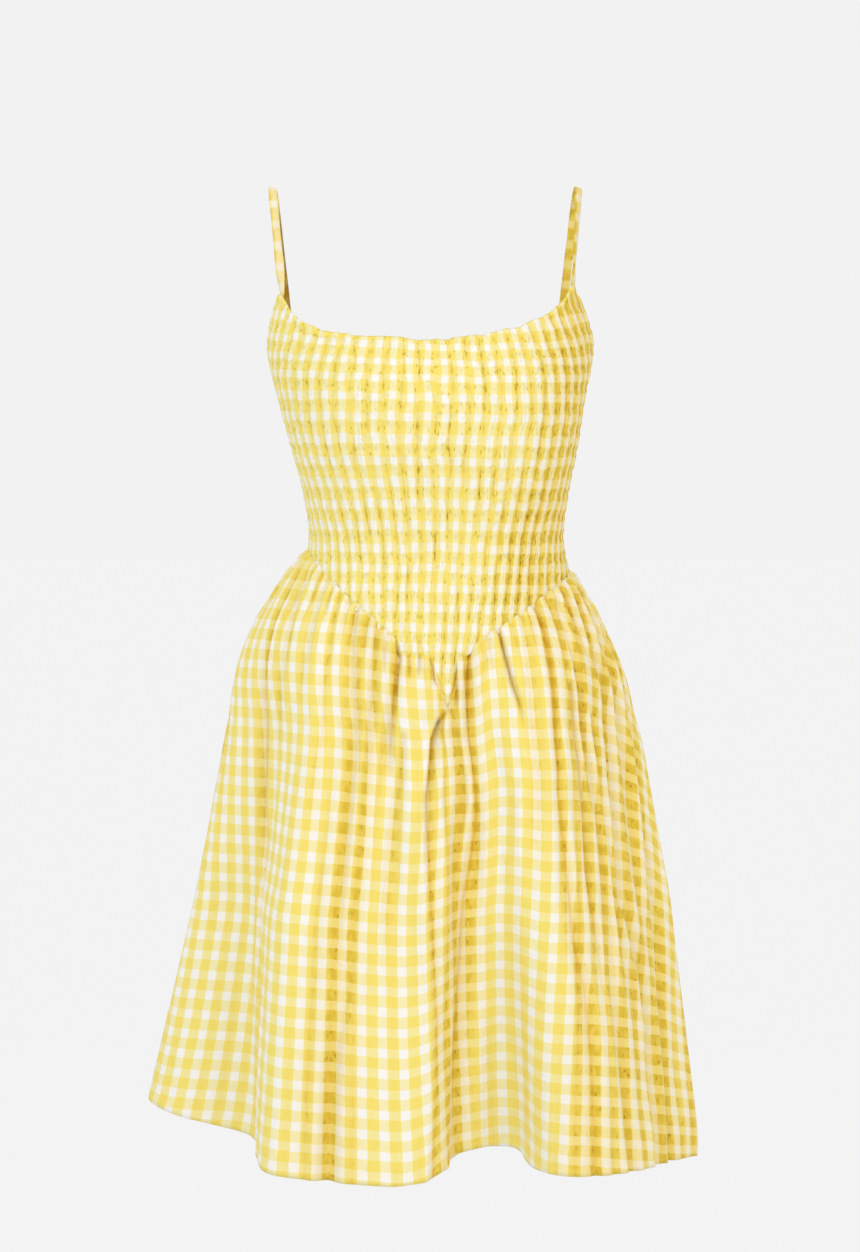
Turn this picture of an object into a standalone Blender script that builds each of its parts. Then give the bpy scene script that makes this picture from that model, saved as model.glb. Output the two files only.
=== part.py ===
"""Sundress: shirred bodice with a basque point, gathered flared skirt, rouleau straps.

The frame: metres, +Z up, the front of the dress faces -Y, +X is the viewer's right.
The origin lies between the crowns of the two straps, where the shoulders carry the dress.
Every panel is a thin closed wall. Its outer points come from a section of the garment at
their height, and its inner points lie one wall further in.
"""

import math

import bmesh
import bpy
import numpy as np

# ---------------------------------------------------------------- driving sizes (metres)
WALL = 0.0012                # cotton cloth with its turned edges
SEAM_GAP = 0.0003            # clearance between neighbouring panels
HALF_GAP = SEAM_GAP / 2

COLUMNS = 56                 # points across a panel: two for each shirring ridge
FRONT_ROWS = 24              # rows down the outer face of the front bodice
BACK_ROWS = 14               # rows down the outer face of the back bodice
INSIDE_ROWS = 8              # rows down the plain inner face of either
SKIRT_ROWS = 12              # rows down a skirt panel
SKIRT_ROW_POWER = 1.35       # above 1 sets the skirt's rows closer near its seam
RIDGE_HEIGHT = 0.0021        # how far a shirring ridge stands off the plain wall
PINCHED = 0.55               # share of the ridge left in a stitched row
EDGE_FADE = 0.010            # ridges die away this near an edge
EDGE_RIDGE = 0.25            # how much of that fade is already over at the top edge
LEVEL_ROWS = -0.395          # stitched rows run level down to here, then into the point
POINT_POWER = 3              # how late the rows bend down into the basque point

SECTION_POWER = 2.3          # roundness of the bodice sections
SECTION_POINTS = 120

GATHERS = 14                 # soft gathers across a skirt panel's top
GATHER_HEIGHT = 0.0030
GATHER_PEAK = 0.08           # share of the skirt's length where they stand highest
GATHER_RUN = 0.50            # share of the length in which they die away below that
GATHER_SIDE_POWER = 8        # how late they die away toward the side seams
SETTLE = 0.29                # share of the length in which the skirt takes its own folds
SHARP_ANGLE = 50             # degrees between faces that meet in a crisp edge

STRAP_WIDTH = 0.0082
STRAP_THICKNESS = 0.0024
STRAP_TUCK = 0.014           # length of strap behind the panel it is sewn to
STRAP_STRAIGHT = 0.25        # share of the way to the shoulder that is straight
STRAP_CLEAR = 0.0008         # room between strap and the panel's inner face
STRAP_FULLNESS = 0.6         # below 1 makes the strap's section flatter than an ellipse
STRAP_SIDES = 10
STRAP_STEPS = 30
ARCH_POINTS = 13             # points that trace the strap's arch before it is evened out
SHARE_STEP = 0.02            # step in share for the cloth's direction under a strap

# The figure the bodice fits: height, reach to the left, right, front and back of the axis.
FIGURE = [
    # height   left    right   front   back
    (-0.090, 0.1380, 0.1340, 0.0900, 0.0850),
    (-0.120, 0.1445, 0.1420, 0.0980, 0.0890),
    (-0.142, 0.1470, 0.1475, 0.1040, 0.0910),
    (-0.165, 0.1430, 0.1440, 0.1100, 0.0920),
    (-0.190, 0.1365, 0.1385, 0.1140, 0.0910),
    (-0.230, 0.1260, 0.1330, 0.1110, 0.0870),
    (-0.270, 0.1145, 0.1250, 0.1010, 0.0820),
    (-0.310, 0.1080, 0.1190, 0.0930, 0.0790),
    (-0.330, 0.1100, 0.1210, 0.0915, 0.0800),
    (-0.365, 0.1240, 0.1310, 0.0940, 0.0900),
    (-0.400, 0.1420, 0.1450, 0.0990, 0.1020),
    (-0.460, 0.1640, 0.1640, 0.1060, 0.1150),
]

# Edges of the panels: share of the way from the centre (0) to the side (-1, 1), height.
NECK_EDGE = [
    (-1.000, -0.1440), (-0.940, -0.1300), (-0.900, -0.1120), (-0.870, -0.1030),
    (-0.790, -0.1035), (-0.735, -0.1095), (-0.690, -0.1150), (-0.600, -0.1245),
    (-0.500, -0.1310), (-0.360, -0.1350), (-0.250, -0.1370), (-0.100, -0.1385),
    (0.020, -0.1385), (0.140, -0.1360), (0.250, -0.1330), (0.360, -0.1280),
    (0.490, -0.1195), (0.570, -0.1130), (0.640, -0.1060), (0.690, -0.0975),
    (0.720, -0.0950), (0.800, -0.0960), (0.850, -0.1040), (0.920, -0.1260),
    (1.000, -0.1440),
]
BACK_EDGE = [(-1.000, -0.1440), (-0.800, -0.1500), (0.800, -0.1500), (1.000, -0.1440)]
BASQUE_SEAM = [
    (-1.000, -0.3250), (-0.860, -0.3300), (-0.690, -0.3395), (-0.550, -0.3540),
    (-0.420, -0.3685), (-0.310, -0.3810), (-0.180, -0.4020), (-0.100, -0.4140),
    (-0.030, -0.4235), (0.010, -0.4400), (0.040, -0.4520), (0.065, -0.4390),
    (0.085, -0.4170), (0.140, -0.4045), (0.190, -0.3970), (0.290, -0.3900),
    (0.390, -0.3795), (0.520, -0.3665), (0.640, -0.3570), (0.860, -0.3480),
    (1.000, -0.3450),
]
BACK_SEAM = [(-1.000, -0.3250), (0.000, -0.3380), (1.000, -0.3450)]

# Heights of the hem, by the same shares.
FRONT_HEM = [
    (-1.000, -0.8220), (-0.820, -0.8340), (-0.660, -0.8480), (-0.500, -0.8680),
    (-0.250, -0.8740), (-0.050, -0.8760), (0.120, -0.8620), (0.220, -0.8540),
    (0.330, -0.8600), (0.500, -0.8660), (0.700, -0.8710), (0.900, -0.8790),
    (1.000, -0.8830),
]
BACK_HEM = [(-1.000, -0.8220), (-0.500, -0.8500), (0.000, -0.8600), (0.500, -0.8700), (1.000, -0.8830)]

# The skirt's own plan at three heights. A row is one fold line that runs down the cloth:
# how far it lies to the right of the axis and how far it stands out, in millimetres.
PLAN_HEIGHTS = (-0.470, -0.640, -0.860)
FRONT_FOLDS = [
    # hip: across, out   thigh: across, out   hem: across, out
    (-179, 0, -213, 0, -264, 0),            # left side
    (-172, 16, -206, 12, -253, 26),
    (-146, 44, -184, 22, -228, 44),
    (-128, 66, -162, 40, -170, 64),         # shoulder of the left side face
    (-112, 86, -147, 84, -152, 96),         # flank that turns to the front
    (-98, 97, -132, 114, -140, 126),
    (-86, 93, -112, 124, -118, 137),
    (-66, 103, -66, 130, -62, 143),         # broad front fold
    (-44, 99, -34, 124, -22, 140),
    (-22, 107, -12, 131, 3, 129),
    (-4, 103, 8, 126, 18, 108),
    (12, 94, 24, 113, 36, 88),              # fold that hangs from the basque point
    (30, 106, 42, 106, 58, 75),
    (46, 101, 58, 109, 74, 79),
    (66, 113, 76, 122, 90, 114),
    (92, 114, 98, 129, 106, 131),           # right front fold
    (108, 104, 122, 122, 138, 134),
    (124, 84, 146, 97, 168, 116),
    (138, 70, 162, 84, 190, 88),
    (152, 50, 180, 52, 212, 50),
    (178, 18, 210, 14, 236, 14),
    (187, 0, 218, 0, 246, 0),               # right side
]
BACK_FOLDS = [
    (-179, 0, -213, 0, -264, 0),            # left side
    (-170, 34, -204, 32, -250, 30),
    (-148, 68, -178, 78, -214, 70),
    (-122, 86, -146, 84, -176, 78),
    (-98, 104, -116, 116, -136, 128),
    (-66, 108, -76, 120, -88, 140),
    (-40, 118, -46, 122, -52, 112),
    (-10, 116, -12, 134, -14, 142),
    (22, 122, 24, 134, 26, 146),
    (48, 112, 56, 112, 62, 110),
    (78, 116, 88, 128, 100, 142),
    (104, 98, 122, 114, 138, 130),
    (128, 84, 148, 84, 170, 82),
    (150, 64, 178, 72, 206, 74),
    (176, 32, 211, 30, 238, 28),
    (187, 0, 218, 0, 246, 0),               # right side
]

# The straps: the crown of each (across, back, height), and the shares of the bodice panels
# that they are sewn behind.
LEFT_CROWN = (-0.1395, 0.004, -0.0012)
RIGHT_CROWN = (0.1320, 0.004, -0.0012)
LEFT_FRONT, LEFT_BACK = -0.830, -0.700       # shares where the strap joins front and back
RIGHT_FRONT, RIGHT_BACK = 0.760, 0.670

YELLOW = (0.90, 0.68, 0.16, 1.0)
PALE = (0.93, 0.80, 0.42, 1.0)


# ---------------------------------------------------------------- small tools
def along(table, share):
    """Read a two-column table at a share, straight between its rows."""
    return float(np.interp(share, [row[0] for row in table], [row[1] for row in table]))


def ease(value):
    """0 below 0, 1 above 1 and a smooth step between."""
    value = min(1.0, max(0.0, value))
    return value * value * (3 - 2 * value)


def even_line(across, out, count):
    """The same line in plan with its points spaced evenly along it."""
    steps = np.hypot(np.diff(across), np.diff(out))
    length = np.concatenate(([0.0], np.cumsum(steps)))
    target = np.linspace(0.0, length[-1], count)
    return np.interp(target, length, across), np.interp(target, length, out)


def smooth_line(across, out, per_span=8):
    """A Catmull-Rom curve through the fold lines of one height, round at the side seams."""
    points = np.column_stack((across, out))
    mirrored = points * (1, -1)
    points = np.vstack((mirrored[1], points, mirrored[-2]))
    curve = []
    for before, start, end, after in zip(points, points[1:], points[2:], points[3:]):
        for t in np.linspace(0, 1, per_span, endpoint=False):
            curve.append(0.5 * (2 * start + (end - before) * t
                                + (2 * before - 5 * start + 4 * end - after) * t ** 2
                                + (3 * start - before - 3 * end + after) * t ** 3))
    curve.append(points[-2])
    curve = np.array(curve)
    return curve[:, 0], curve[:, 1]


# ---------------------------------------------------------------- sections of the garment
def figure_plan(height, back):
    """Plan of the bodice at a height: even points from the left side to the right side."""
    heights = [-row[0] for row in FIGURE]
    left, right, front, rear = (np.interp(-height, heights, [row[i] for row in FIGURE])
                                for i in (1, 2, 3, 4))
    half = (left + right) / 2
    middle = (right - left) / 2
    depth = rear if back else front
    angle = np.linspace(-math.pi / 2, math.pi / 2, SECTION_POINTS)
    across = middle + half * np.sign(angle) * np.abs(np.sin(angle)) ** (2 / SECTION_POWER)
    out = depth * np.abs(np.cos(angle)) ** (2 / SECTION_POWER)
    return even_line(across, out, SECTION_POINTS)


def skirt_plan(height, folds):
    """Plan of the free skirt at a height, from its fold lines."""
    levels = [-level for level in PLAN_HEIGHTS]
    table = np.array(folds, dtype=float) / 1000
    across = [np.interp(-height, levels, row[0::2]) for row in table]
    out = [np.interp(-height, levels, row[1::2]) for row in table]
    return even_line(*smooth_line(np.array(across), np.array(out)), SECTION_POINTS)


def plan_point(plan, share):
    """The point of a plan at a share from -1 at the left side to 1 at the right."""
    spread = np.linspace(-1.0, 1.0, SECTION_POINTS)
    return np.array((np.interp(share, spread, plan[0]), np.interp(share, spread, plan[1])))


def bodice_rows(top, bottom, back, rows):
    """Plain outer points of a bodice panel, row by row from its top edge to its seam."""
    grid = []
    for row in range(rows + 1):
        line = []
        for share in np.linspace(-1.0, 1.0, COLUMNS + 1):
            high = along(top, share)
            low = along(bottom, share) + HALF_GAP
            level = max(low, LEVEL_ROWS)
            down = row / rows
            height = high + (level - high) * down + (low - level) * down ** POINT_POWER
            x, out = plan_point(figure_plan(height, back), share)
            line.append((x, out, height))
        grid.append(line)
    return np.array(grid)


def skirt_rows(top, bottom, folds, back):
    """Outer points of a skirt panel: the bodice's plan at the seam, its own folds below."""
    grid = []
    for row in range(SKIRT_ROWS + 1):
        down = (row / SKIRT_ROWS) ** SKIRT_ROW_POWER
        settled = min(1.0, down / SETTLE)
        dying = ease((down - GATHER_PEAK) / GATHER_RUN)
        gather = GATHER_HEIGHT * ease(down / GATHER_PEAK) * (1 - dying)
        line = []
        for share in np.linspace(-1.0, 1.0, COLUMNS + 1):
            high = along(top, share) - HALF_GAP
            height = high + (along(bottom, share) - high) * down
            seam = plan_point(figure_plan(height, back), share)
            free = plan_point(skirt_plan(height, folds), share)
            x, out = seam + (free - seam) * settled
            side_fade = 1 - share ** GATHER_SIDE_POWER
            wave = gather * math.sin(share * math.pi * GATHERS) * side_fade
            line.append((x, out + wave, height))
        grid.append(line)
    return np.array(grid)


# ---------------------------------------------------------------- walls
def plan_normals(grid):
    """Level directions straight out of the cloth. They point sideways at the side seams."""
    run = np.gradient(grid[:, :, :2], axis=1)
    run /= np.linalg.norm(run, axis=2, keepdims=True)
    normals = np.stack((-run[:, :, 1], run[:, :, 0], np.zeros(run.shape[:2])), axis=2)
    normals[:, 0] = (-1, 0, 0)
    normals[:, -1] = (1, 0, 0)
    return normals


def ridged(grid):
    """Raise every second column of a bodice panel into a ridge, pinched in the stitched rows."""
    rows, columns = grid.shape[:2]
    normals = plan_normals(grid)
    raised = grid.copy()
    for row in range(rows):
        pinch = PINCHED if row % 2 else 1.0
        for column in range(1, columns - 1, 2):
            from_top = grid[0, column, 2] - grid[row, column, 2]
            from_seam = grid[row, column, 2] - grid[-1, column, 2]
            fade = ease(from_top / EDGE_FADE + EDGE_RIDGE) * ease(from_seam / EDGE_FADE)
            raised[row, column] += normals[row, column] * RIDGE_HEIGHT * pinch * fade
    return raised


def rim(first, second):
    """Triangles between two chains of vertices that run side by side."""
    faces = []
    i = j = 0
    while i < len(first) - 1 or j < len(second) - 1:
        next_i = (i + 1) / (len(first) - 1) if i < len(first) - 1 else 2
        next_j = (j + 1) / (len(second) - 1) if j < len(second) - 1 else 2
        if next_i <= next_j:
            faces.append((first[i], first[i + 1], second[j]))
            i += 1
        else:
            faces.append((first[i], second[j + 1], second[j]))
            j += 1
    return faces


def cloth_wall(name, outer, inner, back, material, collection):
    """A closed wall from its outer and inner rows of points."""
    mesh = bmesh.new()
    side = 1 if back else -1
    sheets = []
    for grid in (outer, inner):
        sheets.append([[mesh.verts.new((x, side * (out + HALF_GAP), z)) for x, out, z in line]
                       for line in grid])
    for sheet in sheets:
        for upper, lower in zip(sheet, sheet[1:]):
            for a, b, c, d in zip(upper, upper[1:], lower[1:], lower):
                mesh.faces.new((a, b, c))
                mesh.faces.new((a, c, d))
    outside, inside = sheets
    chains = [
        (outside[0], inside[0]),
        (outside[-1], inside[-1]),
        ([line[0] for line in outside], [line[0] for line in inside]),
        ([line[-1] for line in outside], [line[-1] for line in inside]),
    ]
    for chain in chains:
        for corners in rim(*chain):
            mesh.faces.new(corners)
    bmesh.ops.recalc_face_normals(mesh, faces=mesh.faces[:])
    return finish(name, mesh, material, collection)


def finish(name, mesh, material, collection):
    """Turn a bmesh into a smooth-shaded named object."""
    data = bpy.data.meshes.new(name)
    mesh.to_mesh(data)
    mesh.free()
    data.shade_smooth()
    data.set_sharp_from_angle(angle=math.radians(SHARP_ANGLE))
    data.materials.append(material)
    piece = bpy.data.objects.new(name, data)
    collection.objects.link(piece)
    return piece


def make_bodice(name, top, bottom, back, rows, material, collection):
    """A shirred panel: ridges outside, a plain face inside."""
    plain = bodice_rows(top, bottom, back, rows)
    lining = bodice_rows(top, bottom, back, INSIDE_ROWS)
    inner = lining - plan_normals(lining) * WALL
    return cloth_wall(name, ridged(plain), inner, back, material, collection)


def make_skirt(name, top, bottom, folds, back, material, collection):
    """A gathered, flared panel of even thickness."""
    outer = skirt_rows(top, bottom, folds, back)
    inner = outer - plan_normals(outer) * WALL
    return cloth_wall(name, outer, inner, back, material, collection)


# ---------------------------------------------------------------- straps
def behind_panel(share, height, back):
    """Centre of a strap that lies against the inner face of a bodice panel."""
    plan = figure_plan(height, back)
    point = plan_point(plan, share)
    run = plan_point(plan, share + SHARE_STEP) - plan_point(plan, share - SHARE_STEP)
    run /= np.linalg.norm(run)
    inward = np.array((run[1], -run[0]))
    x, out = point + inward * (WALL + STRAP_CLEAR + STRAP_THICKNESS / 2)
    side = 1 if back else -1
    return np.array((x, side * out, height)), np.array((run[0], side * run[1], 0.0))


def make_strap(name, crown, front_share, back_share, material, collection):
    """A flat rouleau from behind the front peak, over the shoulder, to behind the back edge."""
    front_top = along(NECK_EDGE, front_share)
    back_top = along(BACK_EDGE, back_share)
    front = [behind_panel(front_share, front_top - drop, False) for drop in (STRAP_TUCK, 0.0)]
    rear = [behind_panel(back_share, back_top - drop, True) for drop in (0.0, STRAP_TUCK)]
    front_foot, rear_foot = front[-1][0], rear[0][0]
    share = STRAP_STRAIGHT
    peak = (np.array(crown) - 0.25 * (1 - share) * (front_foot + rear_foot)) / (0.5 * (1 + share))
    front_bend = front_foot + share * (peak - front_foot)
    rear_bend = rear_foot + share * (peak - rear_foot)
    over = [(1 - t) ** 2 * front_bend + 2 * t * (1 - t) * peak + t * t * rear_bend
            for t in np.linspace(0, 1, ARCH_POINTS)]
    level = np.array((1.0, 0.0, 0.0))
    places = [front[0][0], front_foot] + over + [rear_foot, rear[1][0]]
    runs = [front[0][1], front[1][1]] + [level] * len(over) + [rear[0][1], rear[1][1]]
    centres, widths = resample(np.array(places), np.array(runs), STRAP_STEPS)
    mesh = bmesh.new()
    rings = []
    for index, (centre, run) in enumerate(zip(centres, widths)):
        ahead = centres[min(index + 1, STRAP_STEPS)] - centres[max(index - 1, 0)]
        ahead /= np.linalg.norm(ahead)
        run = run - ahead * np.dot(run, ahead)
        run /= np.linalg.norm(run)
        facing = np.cross(ahead, run)
        ring = []
        for corner in range(STRAP_SIDES):
            angle = 2 * math.pi * corner / STRAP_SIDES
            thick = math.copysign(abs(math.sin(angle)) ** STRAP_FULLNESS, math.sin(angle))
            place = (centre + run * math.cos(angle) * STRAP_WIDTH / 2
                     + facing * thick * STRAP_THICKNESS / 2)
            ring.append(mesh.verts.new(place))
        rings.append(ring)
    for one, two in zip(rings, rings[1:]):
        for corner in range(STRAP_SIDES):
            after = (corner + 1) % STRAP_SIDES
            mesh.faces.new((one[corner], one[after], two[after], two[corner]))
    mesh.faces.new(rings[0])
    mesh.faces.new(rings[-1])
    bmesh.ops.recalc_face_normals(mesh, faces=mesh.faces[:])
    bmesh.ops.triangulate(mesh, faces=mesh.faces[:])
    return finish(name, mesh, material, collection)


def resample(places, runs, steps):
    """Even points along a route, with the direction across the strap at each of them."""
    length = np.concatenate(([0.0], np.cumsum(np.linalg.norm(np.diff(places, axis=0), axis=1))))
    target = np.linspace(0, length[-1], steps + 1)
    return [np.column_stack([np.interp(target, length, table[:, i]) for i in range(3)])
            for table in (places, runs)]


# ---------------------------------------------------------------- the dress
def cotton(name, colour):
    """Plain finish for one kind of cloth."""
    material = bpy.data.materials.new(name)
    material.use_nodes = True
    shader = material.node_tree.nodes["Principled BSDF"]
    shader.inputs["Base Color"].default_value = colour
    shader.inputs["Roughness"].default_value = 0.85
    shader.inputs["Metallic"].default_value = 0.0
    return material


def main():
    for thing in list(bpy.data.objects):
        bpy.data.objects.remove(thing)
    collection = bpy.data.collections.new("Sundress")
    bpy.context.scene.collection.children.link(collection)
    shirred = cotton("shirred cotton", YELLOW)
    plain = cotton("plain cotton", PALE)
    make_bodice("bodice_front", NECK_EDGE, BASQUE_SEAM, False, FRONT_ROWS, shirred, collection)
    make_bodice("bodice_back", BACK_EDGE, BACK_SEAM, True, BACK_ROWS, shirred, collection)
    make_skirt("skirt_front", BASQUE_SEAM, FRONT_HEM, FRONT_FOLDS, False, plain, collection)
    make_skirt("skirt_back", BACK_SEAM, BACK_HEM, BACK_FOLDS, True, plain, collection)
    make_strap("strap_left", LEFT_CROWN, LEFT_FRONT, LEFT_BACK, plain, collection)
    make_strap("strap_right", RIGHT_CROWN, RIGHT_FRONT, RIGHT_BACK, plain, collection)


if __name__ == "__main__":
    main()
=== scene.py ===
"""Sundress: the looks of a shirred gingham dress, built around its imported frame.

The sheets of cloth follow the same sections as the solids, in metres, with +Z up and the
front facing -Y. Each sheet starts as a grid and is shaped point by point, then thickened.
"""

import math

import bpy
import numpy as np
from bpy.props import FloatProperty, FloatVectorProperty, IntProperty, PointerProperty
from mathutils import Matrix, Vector


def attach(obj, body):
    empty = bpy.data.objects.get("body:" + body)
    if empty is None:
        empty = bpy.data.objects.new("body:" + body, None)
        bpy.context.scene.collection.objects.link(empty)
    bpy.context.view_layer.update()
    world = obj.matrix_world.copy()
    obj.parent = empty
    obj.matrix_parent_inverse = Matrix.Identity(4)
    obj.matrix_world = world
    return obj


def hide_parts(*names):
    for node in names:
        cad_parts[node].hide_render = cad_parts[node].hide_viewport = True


bl_info = {
    "name": "Shirred gingham sundress",
    "version": (1, 0, 0),
    "blender": (4, 5, 0),
    "location": "3D View > Sidebar > Sundress",
    "description": "Builds the cloth, straps, stitching and stage of a shirred gingham sundress",
    "category": "Object",
}

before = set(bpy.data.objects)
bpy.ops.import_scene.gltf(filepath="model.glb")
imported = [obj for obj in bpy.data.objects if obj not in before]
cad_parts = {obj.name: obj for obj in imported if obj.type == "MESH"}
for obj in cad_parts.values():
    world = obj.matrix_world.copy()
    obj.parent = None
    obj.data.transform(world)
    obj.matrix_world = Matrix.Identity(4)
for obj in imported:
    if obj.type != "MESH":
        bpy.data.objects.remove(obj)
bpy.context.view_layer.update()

# ---------------------------------------------------------------- sections of the dress
SECTION_POWER = 2.3          # 2 would make the figure's plan an ellipse, and more is squarer
SECTION_POINTS = 240         # points across the plan of one panel
LEVEL_ROWS = -0.395          # the bodice's rows of faces are spaced evenly down to this height
POINT_POWER = 3              # and mostly the last of them stretch down to the basque point
SMOOTHING = 0.012            # metres up and down over which the tables' corners are rounded

# The figure the bodice fits: height, reach to the left, right, front and back of the axis.
FIGURE = [
    # height   left    right   front   back
    (-0.090, 0.1380, 0.1340, 0.0900, 0.0850),
    (-0.120, 0.1445, 0.1420, 0.0980, 0.0890),
    (-0.142, 0.1470, 0.1475, 0.1040, 0.0910),
    (-0.165, 0.1430, 0.1440, 0.1100, 0.0920),
    (-0.190, 0.1365, 0.1385, 0.1140, 0.0910),
    (-0.230, 0.1260, 0.1330, 0.1110, 0.0870),
    (-0.270, 0.1145, 0.1250, 0.1010, 0.0820),
    (-0.310, 0.1080, 0.1190, 0.0930, 0.0790),
    (-0.330, 0.1100, 0.1210, 0.0915, 0.0800),
    (-0.365, 0.1240, 0.1310, 0.0940, 0.0900),
    (-0.400, 0.1420, 0.1450, 0.0990, 0.1020),
    (-0.460, 0.1640, 0.1640, 0.1060, 0.1150),
]

# Lowest and highest plan of each stack, and the step between plans.
BODICE_HEIGHTS = (-0.48, -0.08, 0.002)
SEAM_HEIGHTS = (-0.52, -0.30, 0.002)
SKIRT_HEIGHTS = (-0.90, -0.30, 0.004)
FOOT_HEIGHTS = (-0.20, -0.08, 0.002)

# Edges of the panels: share of the way from the centre (0) to the side (-1, 1), height.
NECK_EDGE = [
    (-1.000, -0.1440), (-0.940, -0.1300), (-0.900, -0.1120), (-0.865, -0.1010),
    (-0.830, -0.0975), (-0.790, -0.1010), (-0.735, -0.1085), (-0.690, -0.1150), (-0.600, -0.1245),
    (-0.500, -0.1310), (-0.360, -0.1350), (-0.250, -0.1370), (-0.100, -0.1385),
    (0.020, -0.1385), (0.140, -0.1360), (0.250, -0.1330), (0.360, -0.1280),
    (0.490, -0.1195), (0.570, -0.1130), (0.640, -0.1060), (0.705, -0.0975),
    (0.755, -0.0900), (0.795, -0.0905), (0.850, -0.1035), (0.920, -0.1260),
    (1.000, -0.1440),
]
BACK_EDGE = [(-1.000, -0.1440), (-0.800, -0.1500), (0.800, -0.1500), (1.000, -0.1440)]
BASQUE_SEAM = [
    (-1.000, -0.3250), (-0.860, -0.3300), (-0.690, -0.3395), (-0.550, -0.3540),
    (-0.420, -0.3685), (-0.310, -0.3810), (-0.212, -0.3955), (-0.183, -0.4010),
    (-0.158, -0.4115), (-0.100, -0.4128), (-0.028, -0.4140), (-0.014, -0.4240),
    (0.015, -0.4366), (0.036, -0.4510), (0.044, -0.4540), (0.056, -0.4480),
    (0.073, -0.4372), (0.079, -0.4232), (0.092, -0.4145), (0.150, -0.4065),
    (0.185, -0.4030), (0.242, -0.3935), (0.290, -0.3900),
    (0.390, -0.3795), (0.520, -0.3665), (0.640, -0.3570), (0.860, -0.3480),
    (1.000, -0.3450),
]
BACK_SEAM = [(-1.000, -0.3250), (0.000, -0.3380), (1.000, -0.3450)]
FRONT_HEM = [
    (-1.000, -0.8220), (-0.820, -0.8330), (-0.660, -0.8430), (-0.610, -0.8470),
    (-0.470, -0.8610), (-0.320, -0.8655), (-0.150, -0.8710), (-0.070, -0.8690),
    (0.000, -0.8620), (0.095, -0.8520), (0.160, -0.8515), (0.240, -0.8550),
    (0.300, -0.8655), (0.370, -0.8655), (0.560, -0.8670), (0.700, -0.8710),
    (0.900, -0.8790), (1.000, -0.8830),
]
BACK_HEM = [(-1.000, -0.8220), (-0.500, -0.8500), (0.000, -0.8600), (0.500, -0.8700),
            (1.000, -0.8830)]

# The skirt's own plan at three heights. A row is one fold line that runs down the cloth:
# how far it lies to the right of the axis and how far it stands out, in millimetres.
PLAN_HEIGHTS = (-0.470, -0.640, -0.860)
SETTLE = 0.29                # share of the way down over which the skirt takes its own plan
FRONT_FOLDS = [
    # hip: across, out   thigh: across, out   hem: across, out
    (-179, 0, -213, 0, -264, 0),
    (-172, 16, -206, 12, -253, 26),
    (-146, 44, -184, 22, -228, 44),
    (-128, 66, -163, 40, -165, 62),
    (-112, 86, -151, 81, -157, 96),
    (-98, 97, -138, 112, -149, 125),
    (-86, 93, -116, 124, -125, 137),
    (-66, 103, -66, 130, -62, 143),
    (-44, 99, -34, 124, -22, 140),
    (-22, 107, -12, 131, 3, 129),
    (-4, 103, 8, 126, 18, 108),
    (12, 94, 24, 113, 36, 88),
    (30, 106, 42, 106, 58, 75),
    (46, 101, 58, 109, 74, 79),
    (66, 113, 76, 122, 90, 114),
    (92, 114, 98, 129, 106, 131),
    (108, 104, 122, 122, 138, 134),
    (124, 84, 146, 97, 168, 116),
    (138, 70, 162, 84, 190, 88),
    (152, 50, 180, 52, 212, 50),
    (178, 18, 210, 14, 236, 14),
    (187, 0, 218, 0, 246, 0),
]
BACK_FOLDS = [
    (-179, 0, -213, 0, -264, 0),
    (-170, 34, -204, 32, -250, 30),
    (-148, 68, -178, 78, -214, 70),
    (-122, 86, -146, 84, -176, 78),
    (-98, 104, -116, 116, -136, 128),
    (-66, 108, -76, 120, -88, 140),
    (-40, 118, -46, 122, -52, 112),
    (-10, 116, -12, 134, -14, 142),
    (22, 122, 24, 134, 26, 146),
    (48, 112, 56, 112, 62, 110),
    (78, 116, 88, 128, 100, 142),
    (104, 98, 122, 114, 138, 130),
    (128, 84, 148, 84, 170, 82),
    (150, 64, 178, 72, 206, 74),
    (176, 32, 211, 30, 238, 28),
    (187, 0, 218, 0, 246, 0),
]

# The straps: the crown of each (across, back, height) and the shares where it is sewn on.
LEFT_CROWN = (-0.1395, 0.004, -0.0060)
RIGHT_CROWN = (0.1320, 0.004, -0.0060)
LEFT_FRONT, LEFT_BACK = -0.830, -0.700
RIGHT_FRONT, RIGHT_BACK = 0.795, 0.670
STRAP_TUCK = 0.014           # how far each end of a strap is sewn down behind its panel
STRAP_STRAIGHT = 0.25        # share of the way toward its peak that a strap runs straight
STRAP_TWIST_PLACE = 0.045    # from the front foot up the strap to where it is turned most
STRAP_TWIST_REACH = 0.050    # how far along the strap the turn spreads each way
LEFT_TWIST, RIGHT_TWIST = 20.0, 66.0                   # degrees
LEFT_STRAP_SHADES, RIGHT_STRAP_SHADES = (0.04, 0.95), (0.17, 0.04)   # painted shade of a strap: usual, and on the inside of the rear half, which stands in shadow
STRAP_BEHIND = 0.0032        # from the panel's outer face to the middle of a strap behind it

# ---------------------------------------------------------------- the cut of the cloth
REPEAT = 0.0188              # one white and one yellow stripe of the gingham

# Gingham columns from the centre front to a side seam, by height.
FRONT_COLUMNS = [(-0.440, 23.0), (-0.413, 21.0), (-0.397, 18.4), (-0.361, 16.3),
                 (-0.325, 14.8), (-0.285, 13.9), (-0.247, 13.5), (-0.207, 13.4),
                 (-0.173, 13.9), (-0.140, 15.3), (-0.100, 16.2)]
BACK_COLUMNS = [(-0.345, 13.2), (-0.187, 13.7), (-0.140, 13.9)]
SKIRT_TOP_COLUMNS = 13.0
SKIRT_FLARE_COLUMNS = 5.0
SKIRT_FLARE_POWER = 1.7
# Columns that the pleats at the viewer's right of the centre push over, by share.
PUSHED_COLUMNS = [(-0.05, 0.0), (0.04, 0.45), (0.10, 0.8), (0.20, 1.0), (0.50, 1.05),
                  (0.62, 0.8), (0.76, 0.2), (0.90, 0.0)]
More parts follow.
